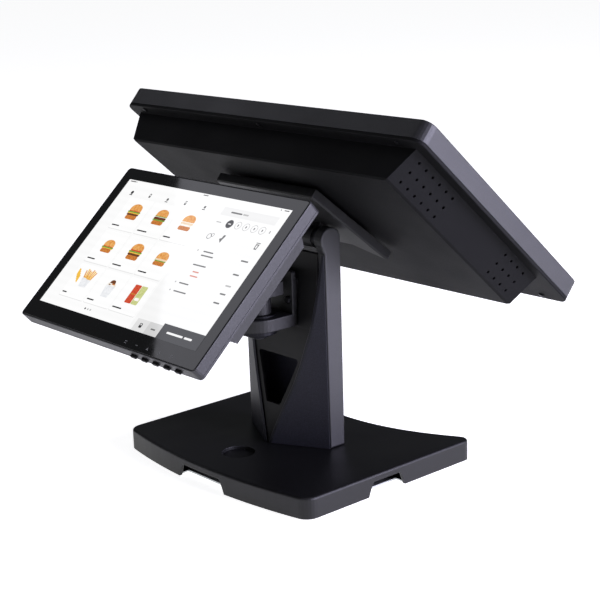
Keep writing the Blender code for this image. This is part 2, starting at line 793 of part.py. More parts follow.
def lip_screw_spots():
    top = MAIN_SHIFT + MAIN_HEIGHT / 2 - 5.5 * MM
    low = MAIN_SHIFT - MAIN_HEIGHT / 2 + 7 * MM
    far = 172.0 * MM
    return [(-far, top), (0, top), (far, top), (-far, low), (far, low)]


def build_rear_housing(frame):
    lip, rear = main_levels()
    outer, inner, _ = plate_levels()
    low_y = MAIN_SHIFT - MAIN_HEIGHT / 2
    high_y = MAIN_SHIFT + MAIN_HEIGHT / 2
    lip_shape = slab(rounded(MAIN_WIDTH / 2, low_y, high_y, MAIN_CORNER, 6), "Z", lip, lip + LIP_THICK, 0.8 * MM, 0, 2)

    def box_ring(half, low, high, z):
        return [(-half, low, z), (half, low, z), (half, high, z), (-half, high, z)]

    ease = 1.5 * MM
    slope = (BOX_HALF_ROOT - BOX_HALF_BACK) / BOX_DEPTH
    shell = loft([
        box_ring(BOX_HALF_BACK - ease, BOX_BOTTOM + ease, BOX_TOP - ease, rear),
        box_ring(BOX_HALF_BACK + slope * ease, BOX_BOTTOM, BOX_TOP, rear + ease),
        box_ring(BOX_HALF_ROOT, BOX_BOTTOM, BOX_TOP, lip + 0.5 * LIP_THICK),
    ])
    pad = box((-PAD_HALF_X, -PAD_HALF_Y, inner + GAP), (PAD_HALF_X, PAD_HALF_Y, rear + 0.5 * BOX_WALL))
    floor = rear + BOX_WALL
    hollow = loft([
        box_ring(BOX_HALF_BACK - BOX_WALL + slope * BOX_WALL, BOX_BOTTOM + BOX_WALL, BOX_TOP - BOX_WALL, floor),
        box_ring(BOX_HALF_ROOT - BOX_WALL, BOX_BOTTOM + BOX_WALL, BOX_TOP - BOX_WALL, lip + LIP_THICK + OVERRUN),
    ])
    housing = piece("rear_housing", lip_shape, "textured black paint", frame, add=[shell], cut=[hollow])
    combine(housing, tool("rear_housing_pad", pad, frame), "UNION")
    for index, (bx, by) in enumerate(board_posts()):
        post = rod("Z", (bx, by), 4.0 * MM, rear + 0.5 * BOX_WALL, floor + BOARD_RISE - GAP, 16)
        combine(housing, tool(f"rear_housing_post_{index}", post, frame), "UNION")
    for index, (bx, by) in enumerate(plate_screw_spots()):
        boss = rod("Z", (bx, by), 5.0 * MM, rear + 0.5 * BOX_WALL, floor + 4 * MM, 16)
        combine(housing, tool(f"rear_housing_boss_{index}", boss, frame), "UNION")
    cuts = []
    for (bx, by) in plate_screw_spots():
        cuts.append(rod("Z", (bx, by), 2.0 * MM + SCREW_GAP, inner, inner + 8.5 * MM, 16))
    for spot in lip_screw_spots():
        cuts.append(rod("Z", spot, 1.5 * MM + SCREW_GAP, lip - OVERRUN, lip + LIP_THICK + OVERRUN, 12))
    cuts.append(box(
        (-IO_HALF, BOX_BOTTOM - OVERRUN, floor + 2 * MM),
        (IO_HALF, BOX_BOTTOM + BOX_WALL + OVERRUN, floor + 2 * MM + IO_HEIGHT),
    ))
    combine(housing, tool("rear_housing_openings", together(cuts), frame), "DIFFERENCE")
    vents = []
    for side in (-1, 1):
        for row in range(VENT_ROWS):
            z = VENT_FIRST_ROW + VENT_ROW * row
            edges = sorted((side * (BOX_HALF_BACK - 12 * MM), side * (BOX_HALF_ROOT + 4 * MM)))
            for first, count in ((UPPER_VENT_Y, UPPER_VENTS), (LOWER_VENT_Y, LOWER_VENTS)):
                for k in range(count):
                    vents.append(rod("X", (first - VENT_PITCH * k, z), VENT_R, edges[0], edges[1], 8))
    combine(housing, tool("rear_housing_vents", together(vents), frame), "DIFFERENCE")
    for index, spot in enumerate(lip_screw_spots()):
        screw(
            f"housing_screw_{index + 1}", "Z", spot, lip - GAP, 1, 2.6 * MM, 1.0 * MM, 1.5 * MM,
            LIP_THICK + 5 * MM, "blackened screw", frame,
        )


def build_main_frame(frame):
    lip, rear = main_levels()
    low_y = MAIN_SHIFT - MAIN_HEIGHT / 2
    high_y = MAIN_SHIFT + MAIN_HEIGHT / 2
    back = lip + LIP_THICK + GAP
    glass_back = MAIN_FACE - GLASS_THICK
    ledge_back = glass_back - GAP - 3.0 * MM
    half = MAIN_WIDTH / 2
    pocket = prism(
        rounded(half - GLASS_RIM, low_y + GLASS_RIM, high_y - GLASS_RIM, MAIN_CORNER - GLASS_RIM, 6),
        "Z", glass_back - GAP, MAIN_FACE + OVERRUN,
    )
    cavity = prism(
        rounded(half - FRAME_WALL, low_y + FRAME_WALL, high_y - FRAME_WALL, MAIN_CORNER - FRAME_WALL, 6),
        "Z", back - OVERRUN, ledge_back,
    )
    opening = box(
        (-LCD_WIDTH / 2 - GAP, MAIN_SHIFT - LCD_HEIGHT / 2 - GAP, ledge_back - OVERRUN),
        (LCD_WIDTH / 2 + GAP, MAIN_SHIFT + LCD_HEIGHT / 2 + GAP, glass_back + OVERRUN),
    )
    bezel = piece(
        "main_frame",
        slab(rounded(half, low_y, high_y, MAIN_CORNER, 6), "Z", back, MAIN_FACE, 0, 1.0 * MM, 3),
        "textured black paint", frame, cut=[pocket, cavity],
    )
    for index, (sx, sy) in enumerate(lip_screw_spots()):
        boss = rod("Z", (sx, sy), 3.9 * MM, back + 0.5 * MM, glass_back - GAP - 1 * MM, 14)
        combine(bezel, tool(f"main_frame_boss_{index}", boss, frame), "UNION")
    button = box(
        (POWER_X - POWER_LONG / 2 - GAP, low_y - OVERRUN, MAIN_FACE - 12 * MM - POWER_WIDE / 2 - GAP),
        (POWER_X + POWER_LONG / 2 + GAP, low_y + FRAME_WALL + OVERRUN, MAIN_FACE - 12 * MM + POWER_WIDE / 2 + GAP),
    )
    cuts = [opening, button]
    for spot in lip_screw_spots():
        cuts.append(rod("Z", spot, 1.5 * MM + SCREW_GAP, back - OVERRUN, back + 7 * MM, 12))
    combine(bezel, tool("main_frame_openings", together(cuts), frame), "DIFFERENCE")
    rim = GLASS_RIM + GAP
    piece(
        "touch_glass",
        slab(rounded(half - rim, low_y + rim, high_y - rim, MAIN_CORNER - rim, 6), "Z", glass_back, MAIN_FACE, 0, 0.4 * MM),
        "gloss black glass", frame,
    )
    piece(
        "main_display_panel",
        box(
            (-LCD_WIDTH / 2, MAIN_SHIFT - LCD_HEIGHT / 2, glass_back - GAP - LCD_THICK),
            (LCD_WIDTH / 2, MAIN_SHIFT + LCD_HEIGHT / 2, glass_back - GAP),
        ),
        "screen panel", frame,
    )
    stem = box(
        (POWER_X - POWER_LONG / 2, low_y - 0.9 * MM, MAIN_FACE - 12 * MM - POWER_WIDE / 2),
        (POWER_X + POWER_LONG / 2, low_y + FRAME_WALL + 1.5 * MM, MAIN_FACE - 12 * MM + POWER_WIDE / 2),
    )
    piece("power_button", stem, "black moulding", frame)


def board_posts():
    return [(sx * (BOARD_HALF_X - 8 * MM), sy * (BOARD_HALF_Y - 8 * MM) - 20 * MM) for sx in (-1, 1) for sy in (-1, 1)]


def build_electronics(frame):
    lip, rear = main_levels()
    floor = rear + BOX_WALL
    low = floor + BOARD_RISE
    top = low + BOARD_THICK
    mid_y = -20 * MM
    board = box((-BOARD_HALF_X, mid_y - BOARD_HALF_Y, low), (BOARD_HALF_X, mid_y + BOARD_HALF_Y, top))
    blocks = [
        box((-80 * MM, -84 * MM, top - 0.5 * MM), (-20 * MM, -76 * MM, top + 6 * MM)),
        box((30 * MM, -70 * MM, top - 0.5 * MM), (70 * MM, -40 * MM, top + 3 * MM)),
        box((-80 * MM, -20 * MM, top - 0.5 * MM), (-60 * MM, 35 * MM, top + 5 * MM)),
    ]
    piece("main_board", board, "circuit board", frame, add=blocks)
    for side, label in ((-1, "left"), (1, "right")):
        far = side * (BOX_HALF_BACK - BOX_WALL - 1 * MM)
        near = side * (BOX_HALF_BACK - BOX_WALL - 1 * MM - SPEAKER_WIDE)
        span = sorted((far, near))
        case = box((span[0], 18 * MM, floor + GAP), (span[1], 18 * MM + SPEAKER_LONG, floor + GAP + SPEAKER_DEEP))
        cone_span = sorted((side * (abs(far) - 1 * MM), side * (abs(far) + 0.8 * MM)))
        cone = rod("X", (18 * MM + SPEAKER_LONG / 2, floor + GAP + SPEAKER_DEEP / 2), 8 * MM, cone_span[0], cone_span[1], 20)
        piece(f"speaker_{label}", case, "black moulding", frame, add=[cone])
    z0 = floor + 2 * MM + GAP
    z1 = floor + 2 * MM + IO_HEIGHT - GAP
    ports = []
    for k in range(4):
        x = -66 * MM + 17 * MM * k
        ports.append(box((x, BOX_BOTTOM - OVERRUN, z0 + 3 * MM), (x + 13 * MM, BOX_BOTTOM + 1.2 * MM, z1 - 5 * MM)))
    for k in range(3):
        x = 8 * MM + 21 * MM * k
        ports.append(box((x, BOX_BOTTOM - OVERRUN, z0 + 2 * MM), (x + 15 * MM, BOX_BOTTOM + 1.2 * MM, z1 - 2.5 * MM)))
    io = piece(
        "port_panel",
        box((-IO_HALF + GAP, BOX_BOTTOM + 0.3 * MM, z0), (IO_HALF - GAP, BOX_BOTTOM + 2.3 * MM, z1)),
        "zinc steel", frame,
    )
    combine(io, tool("port_panel_ports", together(ports), frame), "DIFFERENCE")


# customer screen unit, drawn on its hinge axis: Y runs down the screen, Z towards its viewer

def cust_levels():
    lip = CUST_FACE - CUST_DEPTH
    return lip, lip - BUMP_DEPTH


def build_customer_screen(frame):
    lip, rear = cust_levels()
    half_x, half_y = CUST_WIDTH / 2, CUST_HEIGHT / 2
    lip_top = lip + CUST_REAR_LIP
    back = lip_top + GAP
    glass_back = CUST_FACE - CUST_GLASS
    body = rounded(half_x, -half_y, half_y, CUST_CORNER, 4)

    ring_at = CUST_RIM
    pocket = prism(
        rounded(half_x - ring_at, -half_y + ring_at, half_y - ring_at, CUST_CORNER - ring_at, 4),
        "Z", glass_back - GAP, CUST_FACE + OVERRUN,
    )
    cavity = prism(
        rounded(half_x - CUST_WALL, -half_y + CUST_WALL, half_y - CUST_WALL, CUST_CORNER - CUST_WALL, 4),
        "Z", back - OVERRUN, glass_back - GAP - 1.5 * MM,
    )
    opening = box(
        (-CUST_LCD_HALF_X - GAP, -CUST_LCD_HIGH - GAP, glass_back - GAP - 3 * MM),
        (CUST_LCD_HALF_X + GAP, CUST_LCD_LOW + GAP, glass_back + OVERRUN),
    )
    shell = piece(
        "customer_frame", slab(body, "Z", back, CUST_FACE, 0, 0.6 * MM, 2), "textured black paint", frame,
        cut=[pocket, cavity],
    )
    key_z = back + 3.6 * MM
    slots = [opening]
    for x_mm in BUTTON_X:
        x = x_mm * MM
        slots.append(box(
            (x - BUTTON_LONG / 2 - GAP, half_y - CUST_WALL - OVERRUN, key_z - BUTTON_WIDE / 2 - GAP),
            (x + BUTTON_LONG / 2 + GAP, half_y + OVERRUN, key_z + BUTTON_WIDE / 2 + GAP),
        ))
    combine(shell, tool("customer_frame_openings", together(slots), frame), "DIFFERENCE")
    for index, x_mm in enumerate(BUTTON_X):
        x = x_mm * MM
        key = slab(
            rounded(BUTTON_LONG / 2, key_z - BUTTON_WIDE / 2, key_z + BUTTON_WIDE / 2, 0.8 * MM, 2),
            "Y", half_y - CUST_WALL - 1.6 * MM, half_y + BUTTON_PROUD, 0, 0.4 * MM,
        )
        shifted = ([p + Vector((x, 0, 0)) for p in key[0]], key[1])
        piece(f"customer_button_{index + 1}", shifted, "black moulding", frame)

    rim = CUST_RIM + GAP
    piece(
        "customer_glass",
        slab(rounded(half_x - rim, -half_y + rim, half_y - rim, CUST_CORNER - rim, 4), "Z", glass_back, CUST_FACE, 0, 0.3 * MM),
        "gloss black glass", frame,
    )
    piece(
        "customer_display_panel",
        box(
            (-CUST_LCD_HALF_X, -CUST_LCD_HIGH, glass_back - GAP - CUST_LCD_THICK),
            (CUST_LCD_HALF_X, CUST_LCD_LOW, glass_back - GAP),
        ),
        "screen panel", frame,
    )

    def bump_ring(half, low, high, z):
        return [(-half, low, z), (half, low, z), (half, high, z), (-half, high, z)]

    bump = loft([
        bump_ring(BUMP_HALF_X - 3 * MM, BUMP_TOP + BUMP_SLOPE, BUMP_BOTTOM - BUMP_SLOPE, rear),
        bump_ring(BUMP_HALF_X, BUMP_TOP, BUMP_BOTTOM, lip + 0.5 * CUST_REAR_LIP),
    ])
    inside = loft([
        bump_ring(BUMP_HALF_X - 5 * MM, BUMP_TOP + BUMP_SLOPE + 2 * MM, BUMP_BOTTOM - BUMP_SLOPE - 2 * MM, rear + CUST_WALL),
        bump_ring(BUMP_HALF_X - 2.2 * MM, BUMP_TOP + 2.4 * MM, BUMP_BOTTOM - 2.4 * MM, lip_top + OVERRUN),
    ])
    cover = piece(
        "customer_rear_cover", slab(body, "Z", lip, lip_top, 0.5 * MM, 0, 2), "textured black paint", frame,
        add=[bump], cut=[inside],
    )
    board_low = rear + CUST_WALL + 4 * MM
    for index, (sx, sy) in enumerate(((-1, -1), (-1, 1), (1, -1), (1, 1))):
        post = rod("Z", (sx * 60 * MM, sy * 30 * MM), 3 * MM, rear + 0.5 * CUST_WALL, board_low - GAP, 12)
        combine(cover, tool(f"customer_rear_cover_post_{index}", post, frame), "UNION")
    piece(
        "customer_board",
        box((-70 * MM, -38 * MM, board_low), (70 * MM, 38 * MM, board_low + BOARD_THICK)),
        "circuit board", frame,
        add=[box((-30 * MM, -10 * MM, board_low + 1 * MM), (10 * MM, 12 * MM, board_low + BOARD_THICK + 1.8 * MM))],
    )

    plate_top = rear - GAP
    plate_low = plate_top - HINGE_PLATE_THICK
    knuckle = rod("X", (0, 0), KNUCKLE_R, -KNUCKLE_HALF, KNUCKLE_HALF, 24)
    web_half = KNUCKLE_HALF - 1 * MM
    web = box((-web_half, -5 * MM, PIN_R + 1.3 * MM), (web_half, 5 * MM, plate_low + OVERRUN))
    bore = rod("X", (0, 0), PIN_R + BORE_GAP, -KNUCKLE_HALF - OVERRUN, KNUCKLE_HALF + OVERRUN, 20)
    piece(
        "customer_hinge_plate",
        slab(rounded(HINGE_PLATE_HALF_X, -HINGE_PLATE_HALF_Y, HINGE_PLATE_HALF_Y, 4 * MM, 4), "Z", plate_low, plate_top, 0.5 * MM, 0),
        "grey black paint", frame, add=[knuckle, web], cut=[bore],
    )


def build_customer_arm():
    hinge = (CUST_HINGE_Y, CUST_HINGE_Z)
    top = ARM_LOW + ARM_THICK
    outline = [
        (SWIVEL_Y - ARM_HALF, ARM_LOW),
        (SWIVEL_Y + 24 * MM, ARM_LOW),
        (CUST_HINGE_Y + 1 * MM, CUST_HINGE_Z - KNUCKLE_R),
    ]
    outline += arc(hinge, KNUCKLE_R, -70, 110, 10)
    outline += [(SWIVEL_Y + 30 * MM, top), (SWIVEL_Y - ARM_HALF, top)]
    swing = KNUCKLE_R + 4.5 * MM
    slot = box(
        (-KNUCKLE_HALF - GAP, CUST_HINGE_Y - swing, CUST_HINGE_Z - 30 * MM),
        (KNUCKLE_HALF + GAP, CUST_HINGE_Y + swing, CUST_HINGE_Z + 30 * MM),
    )
    pin_bore = rod("X", hinge, PIN_R + BORE_GAP, -ARM_HALF - OVERRUN, ARM_HALF + OVERRUN, 20)
    socket = rod("Z", (0, SWIVEL_Y), SPIGOT_R + GAP, ARM_LOW - OVERRUN, top + OVERRUN, 24)
    piece("customer_arm", prism(outline, "X", -ARM_HALF, ARM_HALF), "grey black paint", cut=[slot, pin_bore, socket])
    piece("customer_hinge_pin", rod("X", hinge, PIN_R, -ARM_HALF - 1 * MM, ARM_HALF + 1 * MM, 20, 0.4 * MM), "bare steel", smooth=True)


def build_swivel():
    centre = (0, SWIVEL_Y)
    tongue_top = TONGUE_LOW + TONGUE_THICK
    washer_low = tongue_top + GAP
    seat = washer_low + WASHER_THICK + GAP
    pin_low = TONGUE_LOW - GAP - NUT_THICK - 2 * MM
    profile = [
        (0, pin_low),
        (SWIVEL_PIN_R, pin_low),
        (SWIVEL_PIN_R, seat),
        (SHAFT_R, seat),
        (SHAFT_R, ARM_LOW - GAP),
        (SPIGOT_R, ARM_LOW - GAP),
        (SPIGOT_R, ARM_LOW + ARM_THICK),
        (0, ARM_LOW + ARM_THICK),
    ]
    piece("swivel_shaft", turned(profile, "Z", centre, 32), "grey black paint", smooth=True)
    bore = SWIVEL_PIN_R + BORE_GAP
    piece("swivel_washer", ring("Z", centre, bore, WASHER_R, washer_low, washer_low + WASHER_THICK, 32), "bare steel", smooth=True)
    nut_top = TONGUE_LOW - GAP
    flange_low = nut_top - NUT_FLANGE_THICK
    hexagon = [(NUT_R * math.cos(math.radians(60 * k)), SWIVEL_Y + NUT_R * math.sin(math.radians(60 * k))) for k in range(6)]
    piece(
        "swivel_nut", slab(hexagon, "Z", nut_top - NUT_THICK, flange_low + 0.5 * MM, 0.5 * MM, 0), "blackened screw",
        add=[rod("Z", centre, NUT_FLANGE_R, flange_low, nut_top, 32, 0.6 * MM)],
        cut=[rod("Z", centre, bore, nut_top - NUT_THICK - OVERRUN, nut_top + OVERRUN, 24)],
    )


def build_bracket():
    front = FLANGE_BACK + FLANGE_THICK
    tongue_top = TONGUE_LOW + TONGUE_THICK
    outline = [(-TONGUE_R, FLANGE_BACK)] + [(-TONGUE_R, SWIVEL_Y)]
    outline += arc((0, SWIVEL_Y), TONGUE_R, 180, 0, 20)[1:-1]
    outline += [(TONGUE_R, SWIVEL_Y), (TONGUE_R, FLANGE_BACK)]
    flange = slab(rounded(TONGUE_R, TONGUE_LOW + 1 * MM, FLANGE_TOP, 2 * MM, 3), "Y", FLANGE_BACK, front, 0, 0.5 * MM)
    key = box((-KEY_HALF, CORE_FRONT + GAP, KEY_LOW), (KEY_HALF, FLANGE_BACK + 1 * MM, KEY_HIGH))
    cuts = [rod("Z", (0, SWIVEL_Y), SWIVEL_PIN_R + BORE_GAP, TONGUE_LOW - OVERRUN, tongue_top + OVERRUN, 24)]
    for side in (-1, 1):
        centre = (side * BRACKET_SCREW_X, BRACKET_SCREW_Z)
        cuts.append(rod("Y", centre, 2.0 * MM + SCREW_GAP, CORE_FRONT - OVERRUN, front + OVERRUN, 16))
    piece(
        "customer_bracket", slab(outline, "Z", TONGUE_LOW, tongue_top, 0.8 * MM, 0.8 * MM, 2), "grey black paint",
        add=[flange, key], cut=cuts,
    )
    for side, label in ((-1, "left"), (1, "right")):
        screw(
            f"bracket_screw_{label}", "Y", (side * BRACKET_SCREW_X, BRACKET_SCREW_Z), front + GAP, -1,
            3.8 * MM, 2.0 * MM, 2.0 * MM, front + GAP - CORE_FRONT + CORE_WALL, "zinc steel",
        )


def centre_on_table():
    """Puts the middle of the whole outline over the origin; the feet already stand at Z = 0."""
    bpy.context.view_layer.update()
    depsgraph = bpy.context.evaluated_depsgraph_get()
    low, high = math.inf, -math.inf
    for obj in bpy.data.objects:
        if obj.type != "MESH" or obj.hide_render:
            continue
        placed = obj.evaluated_get(depsgraph)
        for point in placed.data.vertices:
            y = (placed.matrix_world @ point.co).y
            low, high = min(low, y), max(high, y)
    for obj in bpy.data.objects:
        if obj.parent is None:
            obj.location.y -= 0.5 * (low + high)


def main():
    clear_scene()
    build_base()
    build_cheeks()
    build_core()
    build_rear_cover()
    build_fairings()
    build_front_panel()
    build_hinge()
    tilt = hinge_frame("main_tilt_axis", (0, HINGE_Y, HINGE_Z), MAIN_TILT)
    build_tilt_bracket(tilt)
    build_rear_housing(tilt)
    build_main_frame(tilt)
    build_electronics(tilt)
    lean = hinge_frame("customer_tilt_axis", (0, CUST_HINGE_Y, CUST_HINGE_Z), -CUST_TILT)
    build_customer_screen(lean)
    build_customer_arm()
    build_swivel()
    build_bracket()
    centre_on_table()


main()
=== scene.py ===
import math

import bmesh
import bpy
from mathutils import Matrix, Vector


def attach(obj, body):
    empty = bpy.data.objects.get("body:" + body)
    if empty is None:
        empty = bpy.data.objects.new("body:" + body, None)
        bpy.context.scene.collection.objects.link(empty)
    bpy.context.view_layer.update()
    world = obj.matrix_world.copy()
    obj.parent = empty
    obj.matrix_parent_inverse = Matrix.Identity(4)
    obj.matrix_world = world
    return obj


mm = 0.001
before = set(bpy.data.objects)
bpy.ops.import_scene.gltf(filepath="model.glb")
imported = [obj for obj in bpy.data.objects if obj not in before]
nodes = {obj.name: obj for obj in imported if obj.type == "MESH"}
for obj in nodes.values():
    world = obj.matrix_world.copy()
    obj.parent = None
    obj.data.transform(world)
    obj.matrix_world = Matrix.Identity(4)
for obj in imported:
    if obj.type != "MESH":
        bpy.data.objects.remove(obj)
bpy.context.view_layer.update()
print("frame loaded:", len(nodes), "pieces")


# sRGB hex to the linear values Blender works in
def linearColour(hexText, alpha=1.0):
    values = []
    for start in (0, 2, 4):
        part = int(hexText[start:start + 2], 16) / 255
        values.append(part / 12.92 if part <= 0.04045 else ((part + 0.055) / 1.055) ** 2.4)
    return (*values, alpha)


# adds one node: settings are its attributes, inputs are values or sockets to link from
def addNode(tree, kind, settings=None, inputs=None):
    node = tree.nodes.new(kind)
    for name, value in (settings or {}).items():
        setattr(node, name, value)
    for name, value in (inputs or {}).items():
        if isinstance(value, bpy.types.NodeSocket):
            tree.links.new(value, node.inputs[name])
        else:
            node.inputs[name].default_value = value
    return node


def startMaterial(name):
    material = bpy.data.materials.new(name)
    material.use_nodes = True
    tree = material.node_tree
    tree.nodes.clear()
    place = addNode(tree, "ShaderNodeTexCoord").outputs["Object"]
    return material, tree, place


def finishMaterial(tree, shader):
    addNode(tree, "ShaderNodeOutputMaterial", inputs={"Surface": shader.outputs["BSDF"]})


# camera: lens for a 36 mm wide sensor, place in metres, angles in degrees
camera = {
    "lens": 86.216,
    "place": (-0.97632, 0.82259, 0.49329),
    "azimuth": 228.82,
    "pitch": 14.83,
    "roll": -1.75,
}


def placeCamera():
    turn = math.radians(camera["azimuth"])
    dip = math.radians(camera["pitch"])
    roll = math.radians(camera["roll"])
    back = Vector((math.sin(turn) * math.cos(dip), -math.cos(turn) * math.cos(dip), math.sin(dip)))
    right = (-back).cross(Vector((0, 0, 1))).normalized()
    up = right.cross(-back)
    across = math.cos(roll) * right + math.sin(roll) * up
    upright = -math.sin(roll) * right + math.cos(roll) * up
    data = bpy.data.cameras.new("studioCamera")
    data.lens = camera["lens"]
    data.sensor_width = 36
    data.clip_start = 0.05
    data.clip_end = 80
    body = bpy.data.objects.new("studioCamera", data)
    bpy.context.scene.collection.objects.link(body)
    turned = Matrix((across, upright, back)).transposed().to_4x4()
    body.matrix_world = Matrix.Translation(Vector(camera["place"])) @ turned
    bpy.context.scene.camera = body


placeCamera()
print("camera placed")


# studio: watts, sizes and places in metres; colours are what each lamp adds
studio = {
    "world": {"colour": "E9ECF2", "strength": 0.12},
    "floor": {"size": 60.0, "colour": "F6F6F6", "glow": 0.86},
    "lamps": (
        {"name": "sideSoftbox", "place": (-2.3, -0.9, 0.75), "aim": (0, 0, 0.17), "size": (1.5, 1.5),
         "watts": 165.0, "colour": "E6E3FF"},
        {"name": "customerFill", "place": (-0.9, 2.6, 1.0), "aim": (0, 0, 0.17), "size": (1.4, 1.4),
         "watts": 11.0, "colour": "F4F4FF"},
        {"name": "topSoftbox", "place": (-0.6, -0.4, 2.6), "aim": (0, 0, 0.17), "size": (1.6, 1.6),
         "watts": 8.0, "colour": "FFFFFF"},
        # hung where the customer glass mirrors it; it shines in mirror-like surfaces only
        {"name": "glareCard", "place": (0.8062, 0.3553, 1.0255), "aim": (0.0336, 0.1886, 0.4129),
         "along": (-0.0595, 0.9797, -0.1914), "size": (0.62, 0.322), "watts": 0.8, "colour": "F4F4FF"},
    ),
}


def buildStudio():
    scene = bpy.context.scene
    scene.view_settings.view_transform = "Standard"
    world = bpy.data.worlds.new("studioAir")
    scene.world = world
    world.use_nodes = True
    tree = world.node_tree
    tree.nodes.clear()
    glow = addNode(tree, "ShaderNodeBackground", inputs={
        "Color": linearColour(studio["world"]["colour"]), "Strength": studio["world"]["strength"]})
    addNode(tree, "ShaderNodeOutputWorld", inputs={"Surface": glow.outputs["Background"]})

    half = studio["floor"]["size"] / 2
    mesh = bpy.data.meshes.new("studioFloor")
    corners = [(-half, -half, 0), (half, -half, 0), (half, half, 0), (-half, half, 0)]
    mesh.from_pydata(corners, [], [(0, 1, 2, 3)])
    floor = bpy.data.objects.new("studioFloor", mesh)
    scene.collection.objects.link(floor)
    material, tree = startMaterial("palePaper")[:2]
    # seamless background paper: matte, even, with a little glow so that shadows stay faint
    shader = addNode(tree, "ShaderNodeBsdfPrincipled", inputs={
        "Base Color": linearColour(studio["floor"]["colour"]), "Roughness": 0.9, "Specular IOR Level": 0.1,
        "Emission Color": linearColour("FFFFFF"), "Emission Strength": studio["floor"]["glow"]})
    finishMaterial(tree, shader)
    mesh.materials.append(material)

    for lamp in studio["lamps"]:
        data = bpy.data.lights.new(lamp["name"], "AREA")
        data.shape = "RECTANGLE"
        data.size, data.size_y = lamp["size"]
        data.energy = lamp["watts"]
        data.color = linearColour(lamp["colour"])[:3]
        body = bpy.data.objects.new(lamp["name"], data)
        scene.collection.objects.link(body)
        aim = Vector(lamp["aim"]) - Vector(lamp["place"])
        if "along" in lamp:
            back = -aim.normalized()
            along = (Vector(lamp["along"]) - back * back.dot(Vector(lamp["along"]))).normalized()
            turned = Matrix((along, back.cross(along), back)).transposed().to_4x4()
            body.visible_diffuse = False
        else:
            turned = aim.to_track_quat("-Z", "Y").to_matrix().to_4x4()
        body.matrix_world = Matrix.Translation(Vector(lamp["place"])) @ turned


buildStudio()
print("studio ready")


# Textured powder coat: sprayed polyester powder, cured to a fine wrinkle that scatters the light
# to a soft grey sheen. The wrinkle is drawn 1.1 mm wide, about three times the real one, to show.
def powderCoat(name, finish):
    material, tree, place = startMaterial(name)
    grain = addNode(tree, "ShaderNodeTexNoise", inputs={
        "Vector": place, "Scale": 1 / (finish["grain"] * mm), "Detail": 3.0, "Roughness": 0.62})
    cloud = addNode(tree, "ShaderNodeTexNoise", inputs={
        "Vector": place, "Scale": 1 / (70 * mm), "Detail": 2.0, "Roughness": 0.5})
    rounded = addNode(tree, "ShaderNodeBevel", {"samples": 6}, {"Radius": finish["edge"] * mm})
    flat = addNode(tree, "ShaderNodeNewGeometry")
    turn = addNode(tree, "ShaderNodeVectorMath", {"operation": "DOT_PRODUCT"}, {
        0: rounded.outputs["Normal"], 1: flat.outputs["Normal"]})
    # handled edges lose their wrinkle first and go a little paler and shinier
    rub = addNode(tree, "ShaderNodeMapRange", inputs={
        "Value": turn.outputs["Value"], "From Min": 0.995, "From Max": 0.80, "To Min": 0.0, "To Max": 1.0})
    broken = addNode(tree, "ShaderNodeMath", {"operation": "MULTIPLY"}, {
        0: rub.outputs["Result"], 1: cloud.outputs["Fac"]})
    speck = addNode(tree, "ShaderNodeMapRange", inputs={
        "Value": grain.outputs["Fac"], "From Min": 0.38, "From Max": 0.66, "To Min": 0.0, "To Max": 0.75})
    body = addNode(tree, "ShaderNodeMix", {"data_type": "RGBA"}, {
        0: speck.outputs["Result"], 6: linearColour(finish["dark"]), 7: linearColour(finish["light"])})
    coat = addNode(tree, "ShaderNodeMix", {"data_type": "RGBA"}, {
        0: broken.outputs["Value"], 6: body.outputs[2], 7: linearColour(finish["worn"])})
    low = addNode(tree, "ShaderNodeMapRange", inputs={
        "Value": cloud.outputs["Fac"], "From Min": 0.3, "From Max": 0.7,
        "To Min": finish["rough"] - 0.05, "To Max": finish["rough"] + 0.05})
    rough = addNode(tree, "ShaderNodeMath", {"operation": "MULTIPLY_ADD"}, {
        0: speck.outputs["Result"], 1: 0.08, 2: low.outputs["Result"]})
    bump = addNode(tree, "ShaderNodeBump", inputs={
        "Strength": finish["bump"], "Distance": 0.12 * mm, "Height": grain.outputs["Fac"],
        "Normal": rounded.outputs["Normal"]})
    shader = addNode(tree, "ShaderNodeBsdfPrincipled", inputs={
        "Base Color": coat.outputs[2], "Roughness": rough.outputs["Value"], "IOR": 1.5,
        "Specular IOR Level": finish.get("gloss", 0.5),
        "Normal": bump.outputs["Normal"]})
    finishMaterial(tree, shader)
    return material


# Moulded ABS: spark-eroded tool texture, a fine even pebble with a low satin sheen
def mouldedAbs(name, finish):
    material, tree, place = startMaterial(name)
    pebble = addNode(tree, "ShaderNodeTexVoronoi", inputs={
        "Vector": place, "Scale": 1 / (finish["grain"] * mm)})
    drift = addNode(tree, "ShaderNodeTexNoise", inputs={
        "Vector": place, "Scale": 1 / (40 * mm), "Detail": 3.0, "Roughness": 0.55})
    rounded = addNode(tree, "ShaderNodeBevel", {"samples": 6}, {"Radius": finish["edge"] * mm})
    body = addNode(tree, "ShaderNodeMix", {"data_type": "RGBA"}, {
        0: drift.outputs["Fac"], 6: linearColour(finish["dark"]), 7: linearColour(finish["light"])})
    rough = addNode(tree, "ShaderNodeMapRange", inputs={
        "Value": drift.outputs["Fac"], "From Min": 0.3, "From Max": 0.7,
        "To Min": finish["rough"] - 0.06, "To Max": finish["rough"] + 0.06})
    bump = addNode(tree, "ShaderNodeBump", inputs={
        "Strength": finish["bump"], "Distance": 0.08 * mm, "Height": pebble.outputs["Distance"],
        "Normal": rounded.outputs["Normal"]})
    shader = addNode(tree, "ShaderNodeBsdfPrincipled", inputs={
        "Base Color": body.outputs[2], "Roughness": rough.outputs["Result"], "IOR": 1.53,
        "Specular IOR Level": finish.get("gloss", 0.5),
        "Normal": bump.outputs["Normal"]})
    finishMaterial(tree, shader)
    return material


